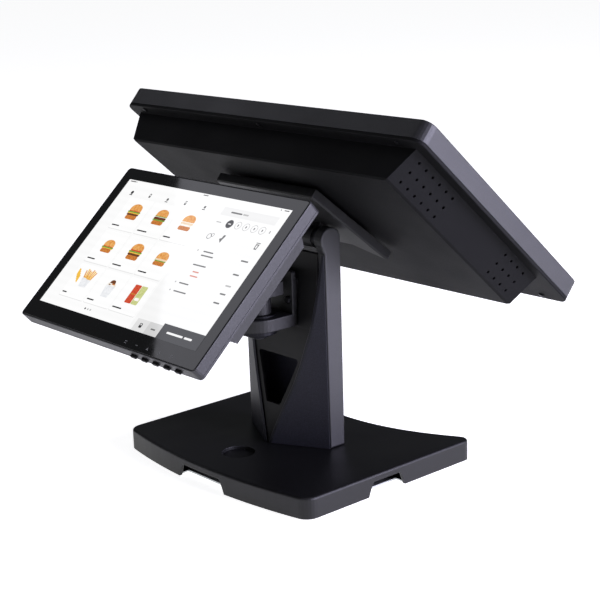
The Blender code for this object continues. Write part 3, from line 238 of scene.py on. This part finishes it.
# Float glass, back-printed black: mirror-smooth, with faint wiped smears that dull it in patches
def printedGlass(name, finish):
    material, tree, place = startMaterial(name)
    smear = addNode(tree, "ShaderNodeTexNoise", inputs={
        "Vector": place, "Scale": 1 / (35 * mm), "Detail": 4.0, "Roughness": 0.6, "Distortion": 1.2})
    ink = addNode(tree, "ShaderNodeMix", {"data_type": "RGBA"}, {
        0: smear.outputs["Fac"], 6: linearColour(finish["dark"]), 7: linearColour(finish["light"])})
    rough = addNode(tree, "ShaderNodeMapRange", inputs={
        "Value": smear.outputs["Fac"], "From Min": 0.35, "From Max": 0.7,
        "To Min": finish["rough"], "To Max": finish["rough"] + 0.05})
    rounded = addNode(tree, "ShaderNodeBevel", {"samples": 4}, {"Radius": 0.3 * mm})
    shader = addNode(tree, "ShaderNodeBsdfPrincipled", inputs={
        "Base Color": ink.outputs[2], "Roughness": rough.outputs["Result"], "IOR": 1.52,
        "Normal": rounded.outputs["Normal"]})
    finishMaterial(tree, shader)
    return material


# Steel: rolled or turned, so fine lines run one way and stretch the highlights across them
def drawnSteel(name, finish):
    material, tree, place = startMaterial(name)
    stretched = addNode(tree, "ShaderNodeMapping", inputs={"Vector": place, "Scale": (1.0, 14.0, 14.0)})
    lines = addNode(tree, "ShaderNodeTexNoise", inputs={
        "Vector": stretched.outputs["Vector"], "Scale": 1 / (9 * mm), "Detail": 4.0, "Roughness": 0.6})
    body = addNode(tree, "ShaderNodeMix", {"data_type": "RGBA"}, {
        0: lines.outputs["Fac"], 6: linearColour(finish["dark"]), 7: linearColour(finish["light"])})
    rough = addNode(tree, "ShaderNodeMapRange", inputs={
        "Value": lines.outputs["Fac"], "From Min": 0.3, "From Max": 0.7,
        "To Min": finish["rough"] - 0.06, "To Max": finish["rough"] + 0.08})
    bump = addNode(tree, "ShaderNodeBump", inputs={
        "Strength": 0.25, "Distance": 0.03 * mm, "Height": lines.outputs["Fac"]})
    shader = addNode(tree, "ShaderNodeBsdfPrincipled", inputs={
        "Base Color": body.outputs[2], "Metallic": 1.0, "Roughness": rough.outputs["Result"],
        "Normal": bump.outputs["Normal"]})
    finishMaterial(tree, shader)
    return material


# Moulded rubber: dead matte, with a dusty bloom in patches
def mouldedRubber(name):
    material, tree, place = startMaterial(name)
    bloom = addNode(tree, "ShaderNodeTexNoise", inputs={
        "Vector": place, "Scale": 1 / (6 * mm), "Detail": 5.0, "Roughness": 0.65})
    body = addNode(tree, "ShaderNodeMix", {"data_type": "RGBA"}, {
        0: bloom.outputs["Fac"], 6: linearColour("161616"), 7: linearColour("303030")})
    bump = addNode(tree, "ShaderNodeBump", inputs={
        "Strength": 0.4, "Distance": 0.1 * mm, "Height": bloom.outputs["Fac"]})
    shader = addNode(tree, "ShaderNodeBsdfPrincipled", inputs={
        "Base Color": body.outputs[2], "Roughness": 0.86, "IOR": 1.52, "Normal": bump.outputs["Normal"]})
    finishMaterial(tree, shader)
    return material


# Glass-fibre board under green solder mask: glossy lacquer over darker copper runs 1.5 mm apart
def circuitBoard(name):
    material, tree, place = startMaterial(name)
    runs = addNode(tree, "ShaderNodeTexBrick", {"offset": 0.35}, {
        "Vector": place, "Color1": linearColour("1E5A3A"), "Color2": linearColour("2B7450"),
        "Mortar": linearColour("134028"), "Scale": 1 / (30 * mm), "Mortar Size": 0.03})
    weave = addNode(tree, "ShaderNodeTexNoise", inputs={
        "Vector": place, "Scale": 1 / (1.5 * mm), "Detail": 2.0})
    bump = addNode(tree, "ShaderNodeBump", inputs={
        "Strength": 0.3, "Distance": 0.05 * mm, "Height": weave.outputs["Fac"]})
    rough = addNode(tree, "ShaderNodeMapRange", inputs={
        "Value": weave.outputs["Fac"], "From Min": 0.3, "From Max": 0.7, "To Min": 0.25, "To Max": 0.4})
    shader = addNode(tree, "ShaderNodeBsdfPrincipled", inputs={
        "Base Color": runs.outputs["Color"], "Roughness": rough.outputs["Result"], "IOR": 1.55,
        "Normal": bump.outputs["Normal"]})
    finishMaterial(tree, shader)
    return material


# powder coats: the housing back's is dead matt, its near-black colour painted shade for a back facing down into
# shadow;
# the arm's is near-black as painted shade on the steel between the screens; base the dark one on the foot, stand and
# satin the two on the column
finishes = {
    "housingCoat": {"dark": "131315", "light": "232327", "worn": "4A4A50", "rough": 0.47, "grain": 1.1,
                    "edge": 0.7, "bump": 0.35, "gloss": 0.42},
    # the near-black colour of this coat is painted shade: the housing's back faces down, away from the lamps, into
    # shadow
    "rearCoatPaintedShade": {"dark": "050506", "light": "0A0A0C", "worn": "1E1E22", "rough": 0.62, "grain": 1.1,
                "edge": 0.7, "bump": 0.35, "gloss": 0.1},
    # the near-black colour of this coat is painted shade: the arm, brackets and tilt plate sit in the shadow between
    # and under the screens
    "armCoatPaintedShade": {"dark": "09090A", "light": "121214", "worn": "2A2A2E", "rough": 0.5, "grain": 0.9,
                "edge": 0.6, "bump": 0.2, "gloss": 0.35},
    "baseCoat": {"dark": "070708", "light": "101012", "worn": "3A3A40", "rough": 0.4, "grain": 1.1,
                 "edge": 0.8, "bump": 0.35, "gloss": 0.3},
    "standCoat": {"dark": "0F0F11", "light": "1C1C20", "worn": "44444A", "rough": 0.46, "grain": 1.1,
                  "edge": 0.8, "bump": 0.35},
    "satinCoat": {"dark": "19191F", "light": "292932", "worn": "4C4C54", "rough": 0.46, "grain": 0.9,
                  "edge": 0.6, "bump": 0.22, "gloss": 0.15},
    "panelAbs": {"dark": "060607", "light": "0D0D0E", "rough": 0.5, "gloss": 0.2, "grain": 0.9,
                 "edge": 0.5, "bump": 0.18},
    "blackGlass": {"dark": "020203", "light": "050506", "rough": 0.02},
    "zincSteel": {"dark": "A4A6A8", "light": "C6C8CA", "rough": 0.34},
    "bareSteel": {"dark": "8C8D8F", "light": "B4B5B7", "rough": 0.28},
    "blackenedSteel": {"dark": "161618", "light": "2A2A2D", "rough": 0.42},
}

housingCoat = powderCoat("housingCoat", finishes["housingCoat"])
baseCoat = powderCoat("baseCoat", finishes["baseCoat"])
standCoat = powderCoat("standCoat", finishes["standCoat"])
rearCoatPaintedShade = powderCoat("rearCoatPaintedShade", finishes["rearCoatPaintedShade"])
armCoatPaintedShade = powderCoat("armCoatPaintedShade", finishes["armCoatPaintedShade"])
satinCoat = powderCoat("satinCoat", finishes["satinCoat"])
panelAbs = mouldedAbs("panelAbs", finishes["panelAbs"])
blackGlass = printedGlass("blackGlass", finishes["blackGlass"])
zincSteel = drawnSteel("zincSteel", finishes["zincSteel"])
bareSteel = drawnSteel("bareSteel", finishes["bareSteel"])
blackenedSteel = drawnSteel("blackenedSteel", finishes["blackenedSteel"])
footRubber = mouldedRubber("footRubber")
greenBoard = circuitBoard("greenBoard")

# which finish each piece has; a name that ends in a star stands for every piece that starts so
pieceFinishes = (
    ("base_cover", baseCoat), ("base_plate", zincSteel), ("base_weight", bareSteel),
    ("base_screw_*", zincSteel),
    ("foot_*", footRubber), ("pole_hole_plug", panelAbs), ("column_core", satinCoat),
    ("column_cheek_*", standCoat), ("column_rear_cover", standCoat), ("column_fairing_*", satinCoat),
    ("column_front_panel", panelAbs), ("hinge_axle", blackenedSteel), ("friction_washer_*", blackenedSteel),
    ("tilt_bracket", armCoatPaintedShade), ("plate_screw_*", blackenedSteel), ("rear_housing", rearCoatPaintedShade),
    ("main_frame", housingCoat), ("touch_glass", blackGlass), ("main_display_panel", blackGlass),
    ("main_board", greenBoard), ("speaker_*", panelAbs), ("port_panel", zincSteel), ("power_button", panelAbs),
    ("housing_screw_*", blackenedSteel), ("customer_bracket", armCoatPaintedShade), ("bracket_screw_*", blackenedSteel),
    ("swivel_shaft", armCoatPaintedShade), ("swivel_washer", blackenedSteel), ("swivel_nut", blackenedSteel),
    ("customer_arm", armCoatPaintedShade), ("customer_hinge_pin", bareSteel), ("customer_hinge_plate", armCoatPaintedShade),
    ("customer_rear_cover", housingCoat), ("customer_frame", housingCoat), ("customer_glass", blackGlass),
    ("customer_display_panel", blackGlass), ("customer_board", greenBoard), ("customer_button_*", panelAbs),
)


def coatPieces():
    left = set(nodes)
    for pattern, material in pieceFinishes:
        wanted = [n for n in nodes if n == pattern or (pattern.endswith("*") and n.startswith(pattern[:-1]))]
        for name in wanted:
            for held in nodes[name].material_slots:
                held.material = material
            left.discard(name)
    print("finishes on", len(nodes) - len(left), "pieces; without one:", sorted(left))


coatPieces()


# customer screen: hinge and lean in the row's frame; sizes in mm, x across, y down the screen
customerScreen = {
    "hinge": (0, 0.10065, 0.1872),
    "lean": 42.1,
    "face": 39.5,
    "picture": (114.2, -113.6, -73.4, 68.2),      # left, right, top, bottom edges as the customer sees it
    "layer": 0.03,                                # each layer of the picture lies this far above the last
}


def screenMatrix():
    lean = math.radians(customerScreen["lean"])
    down = Vector((0, math.cos(lean), -math.sin(lean)))
    out = Vector((0, math.sin(lean), math.cos(lean)))
    turned = Matrix((Vector((1, 0, 0)), down, out)).transposed().to_4x4()
    return Matrix.Translation(Vector(customerScreen["hinge"])) @ turned


# Lit liquid-crystal picture behind bonded glass: it glows evenly, with faint broad patches, and
# the glass over it still mirrors the room. The rows of cells are drawn 0.9 mm apart, five times
# the real pitch, to show at all.
def litPicture(name, hexText, strength=1.0, mottle=None):
    material, tree, place = startMaterial(name)
    rows = addNode(tree, "ShaderNodeTexWave", {"wave_type": "BANDS", "bands_direction": "Z"}, {
        "Vector": place, "Scale": 1 / (0.9 * mm) / 20})
    spread = addNode(tree, "ShaderNodeTexNoise", inputs={
        "Vector": place, "Scale": 1 / (90 * mm), "Detail": 1.0})
    tint = linearColour(hexText)
    if mottle:
        blotch = addNode(tree, "ShaderNodeTexNoise", inputs={
            "Vector": place, "Scale": 1 / (mottle["size"] * mm), "Detail": 4.0, "Roughness": 0.7})
        sharp = addNode(tree, "ShaderNodeMapRange", inputs={
            "Value": blotch.outputs["Fac"], "From Min": 0.38, "From Max": 0.62})
        base = addNode(tree, "ShaderNodeMix", {"data_type": "RGBA"}, {
            0: sharp.outputs["Result"], 6: tint, 7: linearColour(mottle["colour"])}).outputs[2]
    else:
        base = tint[:3]
    dim = addNode(tree, "ShaderNodeMath", {"operation": "MULTIPLY_ADD"}, {
        0: rows.outputs["Fac"], 1: 0.02, 2: 0.95})
    even = addNode(tree, "ShaderNodeMath", {"operation": "MULTIPLY_ADD"}, {
        0: spread.outputs["Fac"], 1: 0.06, 2: dim.outputs["Value"]})
    glow = addNode(tree, "ShaderNodeVectorMath", {"operation": "SCALE"}, {
        0: base, "Scale": even.outputs["Value"]})
    shader = addNode(tree, "ShaderNodeBsdfPrincipled", inputs={
        "Base Color": linearColour("0A0A0B"), "Roughness": 0.05, "IOR": 1.52,
        "Emission Color": glow.outputs["Vector"], "Emission Strength": strength})
    finishMaterial(tree, shader)
    return material


# the picture's colours, as a generic till menu
pictureTones = {
    "paper": ("FCFCFC", None), "column": ("F7F7F7", None), "card": ("FFFFFF", None),
    "cardEdge": ("E6E6E6", None), "bar": ("ECECEC", None), "cell": ("E2E2E2", None),
    "cellDark": ("D2D2D2", None), "words": ("6A6A6A", None), "faint": ("B4B4B4", None),
    "strong": ("2C2C2E", None), "button": ("2E2F32", None), "white": ("F4F4F4", None),
    "note": ("D88A7A", None), "bun": ("D98A3D", {"colour": "F0B66A", "size": 2.2}),
    "crust": ("B4652A", {"colour": "D98A3D", "size": 1.6}),
    "meat": ("5A3018", {"colour": "7D4A28", "size": 1.2}),
    "leaf": ("5E8A2C", {"colour": "8FB548", "size": 1.4}),
    "cheese": ("F2B632", {"colour": "F8CC5E", "size": 2.0}),
    "tomato": ("C23A22", {"colour": "DB5A38", "size": 1.4}),
    "cream": ("F1E6D2", {"colour": "FFFFFF", "size": 2.0}),
    "cup": ("E4E6EA", {"colour": "F6F7F9", "size": 3.0}),
    "pale": ("E9C9A4", {"colour": "F3DDC0", "size": 2.0}),
    "lime": ("BFC77A", {"colour": "D6DA9C", "size": 1.6}),
}


def rectangle(x, y, wide, high):
    return [(x - wide / 2, y - high / 2), (x + wide / 2, y - high / 2),
            (x + wide / 2, y + high / 2), (x - wide / 2, y + high / 2)]


def softRectangle(x, y, wide, high, radius, steps=4):
    points = []
    for cx, cy, start in ((x + wide / 2 - radius, y + high / 2 - radius, 0),
                          (x - wide / 2 + radius, y + high / 2 - radius, 90),
                          (x - wide / 2 + radius, y - high / 2 + radius, 180),
                          (x + wide / 2 - radius, y - high / 2 + radius, 270)):
        for k in range(steps + 1):
            turn = math.radians(start + 90 * k / steps)
            points.append((cx + radius * math.cos(turn), cy + radius * math.sin(turn)))
    return points


def disc(x, y, radius, steps=20):
    return [(x + radius * math.cos(2 * math.pi * k / steps), y + radius * math.sin(2 * math.pi * k / steps))
            for k in range(steps)]


def hoop(x, y, radius, width, steps=20):
    inner, outer = disc(x, y, radius - width, steps), disc(x, y, radius, steps)
    return [[outer[k], outer[(k + 1) % steps], inner[(k + 1) % steps], inner[k]] for k in range(steps)]


def dome(x, y, wide, high, steps=14):
    points = [(x + wide / 2 * math.cos(math.pi * k / steps), y - high * math.sin(math.pi * k / steps) ** 0.7)
              for k in range(steps + 1)]
    return points


def burger(x, y, size, layers):
    shapes = [("crust", softRectangle(x, y + 5.6 * size, 15.5 * size, 4.6 * size, 1.9 * size))]
    step = y + 3.6 * size
    for tone, high, wide in layers:
        across, tall = wide * size, high * size
        shapes.append((tone, softRectangle(x, step - tall / 2, across, tall, 0.45 * tall)))
        step -= high * size * 0.86
    shapes.append(("bun", dome(x, step + 0.3 * size, 16.4 * size, 7.4 * size)))
    return shapes


def tileDishes():
    stack = (("meat", 2.4, 16.6), ("cheese", 1.1, 17.2), ("leaf", 1.6, 18.0), ("tomato", 1.3, 15.6))
    thin = (("leaf", 1.5, 17.4), ("meat", 2.6, 16.8), ("cream", 1.0, 15.4), ("leaf", 1.2, 16.8))
    mild = (("cream", 2.2, 15.6), ("pale", 2.2, 16.6), ("cream", 1.2, 15.6))
    dishes = [
        (75.0, -38.5, stack, 1.02), (35.5, -38.8, thin, 1.0), (-3.0, -39.5, mild, 1.02),
        (76.0, 0.2, stack[1:], 0.94), (35.5, 0.0, stack, 1.04),
        (-3.0, -0.6, (("leaf", 1.2, 16.0), ("pale", 2.6, 16.8)), 0.98),
    ]
    shapes = []
    for x, y, layers, size in dishes:
        shapes += burger(x, y - 1.5, size, layers)
    # chips in a tub with a sauce pot
    for k in range(7):
        lean = (k - 3) * 0.9
        x = 72.5 + 1.7 * (k - 3)
        shapes.append(("cheese" if k % 2 else "bun", [(x - 0.9, 36), (x + 0.9, 36), (x + 0.9 + lean, 27.5 - (k % 3)),
                                                      (x - 0.9 + lean, 27.5 - (k % 3))]))
    shapes.append(("cup", [(65.5, 35), (79.5, 35), (77.5, 44.5), (67.5, 44.5)]))
    for k in range(4):
        x = 84.5 + 1.5 * k
        shapes.append(("cheese", [(x - 1.2, 42 - 2 * k), (x + 1.6, 40 - 2 * k),
                                  (x + 2.2, 33 - 2 * k), (x - 0.4, 34 - 2 * k)]))
    # iced cup
    shapes += [("cup", [(28.5, 35.5), (42.0, 35.5), (40.0, 47.5), (30.5, 47.5)]),
               ("cream", dome(35.2, 36.0, 12.6, 5.0)),
               ("meat", dome(35.4, 33.0, 7.5, 3.6)), ("crust", softRectangle(33.2, 33.6, 4.4, 1.2, 0.5)),
               ("meat", softRectangle(38.4, 34.4, 2.8, 1.0, 0.4))]
    # two wrapped bars
    shapes += [("tomato", softRectangle(0.8, 37.0, 8.6, 19.0, 1.0)),
               ("lime", softRectangle(-8.2, 37.0, 8.6, 19.0, 1.0)),
               ("crust", softRectangle(0.8, 37.0, 8.6, 1.2, 0.4)),
                ("cream", softRectangle(-8.2, 41.0, 6.2, 3.0, 1.0))]
    return shapes


def menuShapes():
    left, right, top, bottom = customerScreen["picture"]
    split = -21.5
    shapes = [("paper", 0, rectangle((left + right) / 2, (top + bottom) / 2, left - right, bottom - top))]
    columnTop = top + 4
    shapes.append(("column", 1, rectangle(
        (split + right) / 2, (columnTop + bottom) / 2, split - right, bottom - columnTop)))
    # status marks
    for x, wide in ((107.0, 8.5), (101.5, 1.2), (-1.4, 7.0), (-108.0, 6.0), (-101.0, 1.6)):
        shapes.append(("words", 2, softRectangle(x, -71.7, wide, 1.1, 0.4)))
    # menu groups
    for k, x in enumerate((97.3, 69.8, 43.3, 17.2, -10.4)):
        tone = "strong" if k == 0 else "words"
        if k % 2 == 0:
            shapes.append((tone, 2, disc(x, -60.0, 1.9 if k == 0 else 1.5)))
            shapes.append((tone, 2, softRectangle(x, -57.4, 4.2, 0.9, 0.3)))
        else:
            shapes.append((tone, 2, softRectangle(x, -60.2, 2.6, 4.6, 0.8)))
            shapes.append(("paper", 3, softRectangle(x, -60.8, 1.2, 1.8, 0.4)))
    # nine cards with dish and caption
    for row, y in enumerate((-37.0, 1.2, 39.4)):
        for column, x in enumerate((76.5, 37.5, -1.0)):
            shapes.append(("cardEdge", 2, softRectangle(x, y, 37.0, 36.6, 1.2)))
            shapes.append(("card", 3, softRectangle(x, y - 0.35, 36.8, 35.8, 1.2)))
            wide = (11.0, 14.0, 10.0, 11.5, 13.0, 12.0, 6.5, 10.0, 13.0)[row * 3 + column]
            shapes.append(("strong", 4, softRectangle(x + 16.6 - wide / 2, y + 13.6, wide, 1.3, 0.5)))
    shapes += [(tone, 4 + index % 9 * 0.25, points) for index, (tone, points) in enumerate(tileDishes())]
    for k, x in enumerate((47.1, 43.0, 39.1)):
        shapes.append(("strong" if k == 0 else "faint", 2, disc(x, 62.6, 1.0)))
    # order column
    shapes.append(("bar", 2, softRectangle(-70.0, -60.2, 71.0, 8.4, 1.0)))
    shapes.append(("words", 3, softRectangle(-53.5, -60.2, 14.5, 1.6, 0.6)))
    shapes.append(("faint", 3, softRectangle(-65.5, -60.2, 7.0, 1.6, 0.6)))
    shapes.append(("faint", 2, softRectangle(-39.5, -48.6, 6.5, 1.0, 0.4)))
    shapes.append(("button", 2, disc(-53.8, -48.8, 4.3)))
    shapes.append(("white", 3, softRectangle(-53.8, -48.8, 3.6, 1.0, 0.4)))
    for x in (-64.9, -75.3, -85.7, -95.9):
        shapes += [("faint", 2, ring) for ring in hoop(x, -49.0, 3.9, 0.5)]
        shapes.append(("words", 2, softRectangle(x, -49.0, 1.3, 2.4, 0.5)))
    shapes.append(("words", 2, softRectangle(-105.4, -49.0, 1.0, 2.6, 0.4)))
    # three tools: a tag, a runner's bolt, a bin
    shapes += [("words", 2, ring) for ring in hoop(-40.0, -33.4, 2.9, 0.6)]
    shapes += [("words", 2, ring) for ring in hoop(-43.2, -35.2, 1.9, 0.5, 14)]
    shapes.append(("words", 2, [(-59.5, -37.4), (-56.6, -37.4), (-56.0, -34.2),
                             (-53.8, -33.0), (-57.4, -29.2), (-57.9, -32.4)]))
    shapes += [("words", 2, softRectangle(-101.7, -36.9, 5.4, 0.8, 0.3)),
               ("words", 2, [(-99.6, -35.8), (-103.8, -35.8), (-103.3, -30.4), (-100.1, -30.4)]),
               ("column", 3, softRectangle(-101.7, -33.2, 1.6, 3.2, 0.4))]
    # order lines: start, length, height, tone
    for x, y, wide, tone in ((-46.0, -18.2, 13.0, "words"), (-46.0, -14.2, 16.0, "words"),
                             (-44.5, -4.2, 17.0, "words"),
                             (-50.0, 2.4, 8.0, "note"), (-50.0, 6.7, 10.0, "note"),
                             (-43.5, 15.3, 12.5, "words"),
                             (-43.5, 23.7, 16.5, "words")):
        shapes.append((tone, 2, softRectangle(x - wide / 2, y, wide, 1.3, 0.5)))
    for y in (-18.2, 15.3, 23.7):
        shapes.append(("faint", 2, disc(-38.6, y, 0.9, 10)))
    for y, wide, tone in ((-17.8, 9.0, "words"), (-4.2, 7.5, "words"), (7.3, 7.0, "faint"),
                          (15.4, 7.0, "words"), (24.3, 7.5, "words")):
        shapes.append((tone, 2, softRectangle(-104.5 + wide / 2, y, wide, 1.5, 0.6)))
    # foot of the order: two keys and the pay key
    shapes.append(("cell", 2, rectangle(-34.6, 62.2, 17.0, 12.0)))
    shapes.append(("cellDark", 2, rectangle(-51.8, 62.2, 17.4, 12.0)))
    shapes.append(("strong", 3, softRectangle(-34.5, 62.2, 3.6, 4.4, 0.6)))
    shapes.append(("cell", 4, softRectangle(-34.5, 61.3, 1.8, 1.4, 0.3)))
    shapes.append(("words", 3, softRectangle(-51.8, 62.4, 6.0, 1.3, 0.5)))
    keyLeft, keyTop, past = -60.5, 53.9, 0.3      # the pay key runs a little past the picture's corner
    shapes.append(("button", 3, rectangle(
        (keyLeft + right) / 2 - past, (keyTop + bottom) / 2 + past,
        keyLeft - right + 2 * past, bottom - keyTop + 2 * past)))
    shapes.append(("white", 4, softRectangle(-80.0, 61.2, 21.0, 1.9, 0.8)))
    shapes.append(("white", 4, softRectangle(-97.5, 61.2, 10.0, 1.9, 0.8)))
    return shapes


def buildPicture():
    tones = {name: litPicture("picture_" + name, tone, 1.0, mottle)
             for name, (tone, mottle) in pictureTones.items()}
    order = list(tones)
    mesh = bpy.data.meshes.new("customer_picture")
    work = bmesh.new()
    for name, level, points in menuShapes():
        height = customerScreen["face"] + 0.06 + customerScreen["layer"] * level
        corners = [work.verts.new((x * mm, y * mm, height * mm)) for x, y in points]
        face = work.faces.new(corners)
        face.material_index = order.index(name)
        face.normal_update()
        if face.normal.z < 0:
            face.normal_flip()
    work.to_mesh(mesh)
    work.free()
    for name in order:
        mesh.materials.append(tones[name])
    mesh.transform(screenMatrix())
    picture = bpy.data.objects.new("customer_picture", mesh)
    bpy.context.scene.collection.objects.link(picture)
    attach(picture, "customer_unit")


buildPicture()
print("customer picture built")


# Screen-printed touch marks on the glass: a thin grey ink film, slightly raised
touchMarks = {"row": 79.7, "places": (-30.5, -45.9, -60.7, -76.3, -92.6), "tone": "8E8E92", "height": 0.04}


def buildTouchMarks():
    material, tree, place = startMaterial("screenInk")
    fleck = addNode(tree, "ShaderNodeTexNoise", inputs={
        "Vector": place, "Scale": 1 / (0.8 * mm), "Detail": 2.0})
    ink = addNode(tree, "ShaderNodeMix", {"data_type": "RGBA"}, {
        0: fleck.outputs["Fac"], 6: linearColour("77777B"), 7: linearColour(touchMarks["tone"])})
    shader = addNode(tree, "ShaderNodeBsdfPrincipled", inputs={
        "Base Color": ink.outputs[2], "Roughness": 0.5, "IOR": 1.5})
    finishMaterial(tree, shader)
    y = touchMarks["row"]
    a, b, c, d, e = touchMarks["places"]
    outlines = [softRectangle(a, y - 0.9, 3.0, 0.6, 0.2), softRectangle(a, y + 0.9, 3.0, 0.6, 0.2)]
    outlines += [softRectangle(b, y, 3.0, 0.6, 0.2)]
    outlines += [[(c - 1.5, y + 1.2), (c + 1.5, y + 1.2), (c, y - 1.4)]]
    outlines += [softRectangle(d, y, 3.0, 0.6, 0.2), softRectangle(d, y, 0.6, 3.0, 0.2)]
    outlines += hoop(e, y, 1.6, 0.5, 16)
    work = bmesh.new()
    for points in outlines:
        height = customerScreen["face"] + touchMarks["height"]
        corners = [work.verts.new((x * mm, v * mm, height * mm)) for x, v in points]
        face = work.faces.new(corners)
        face.normal_update()
        if face.normal.z < 0:
            face.normal_flip()
    mesh = bpy.data.meshes.new("customer_touch_marks")
    work.to_mesh(mesh)
    work.free()
    mesh.materials.append(material)
    mesh.transform(screenMatrix())
    marks = bpy.data.objects.new("customer_touch_marks", mesh)
    bpy.context.scene.collection.objects.link(marks)
    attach(marks, "customer_unit")


buildTouchMarks()
print("touch marks printed")
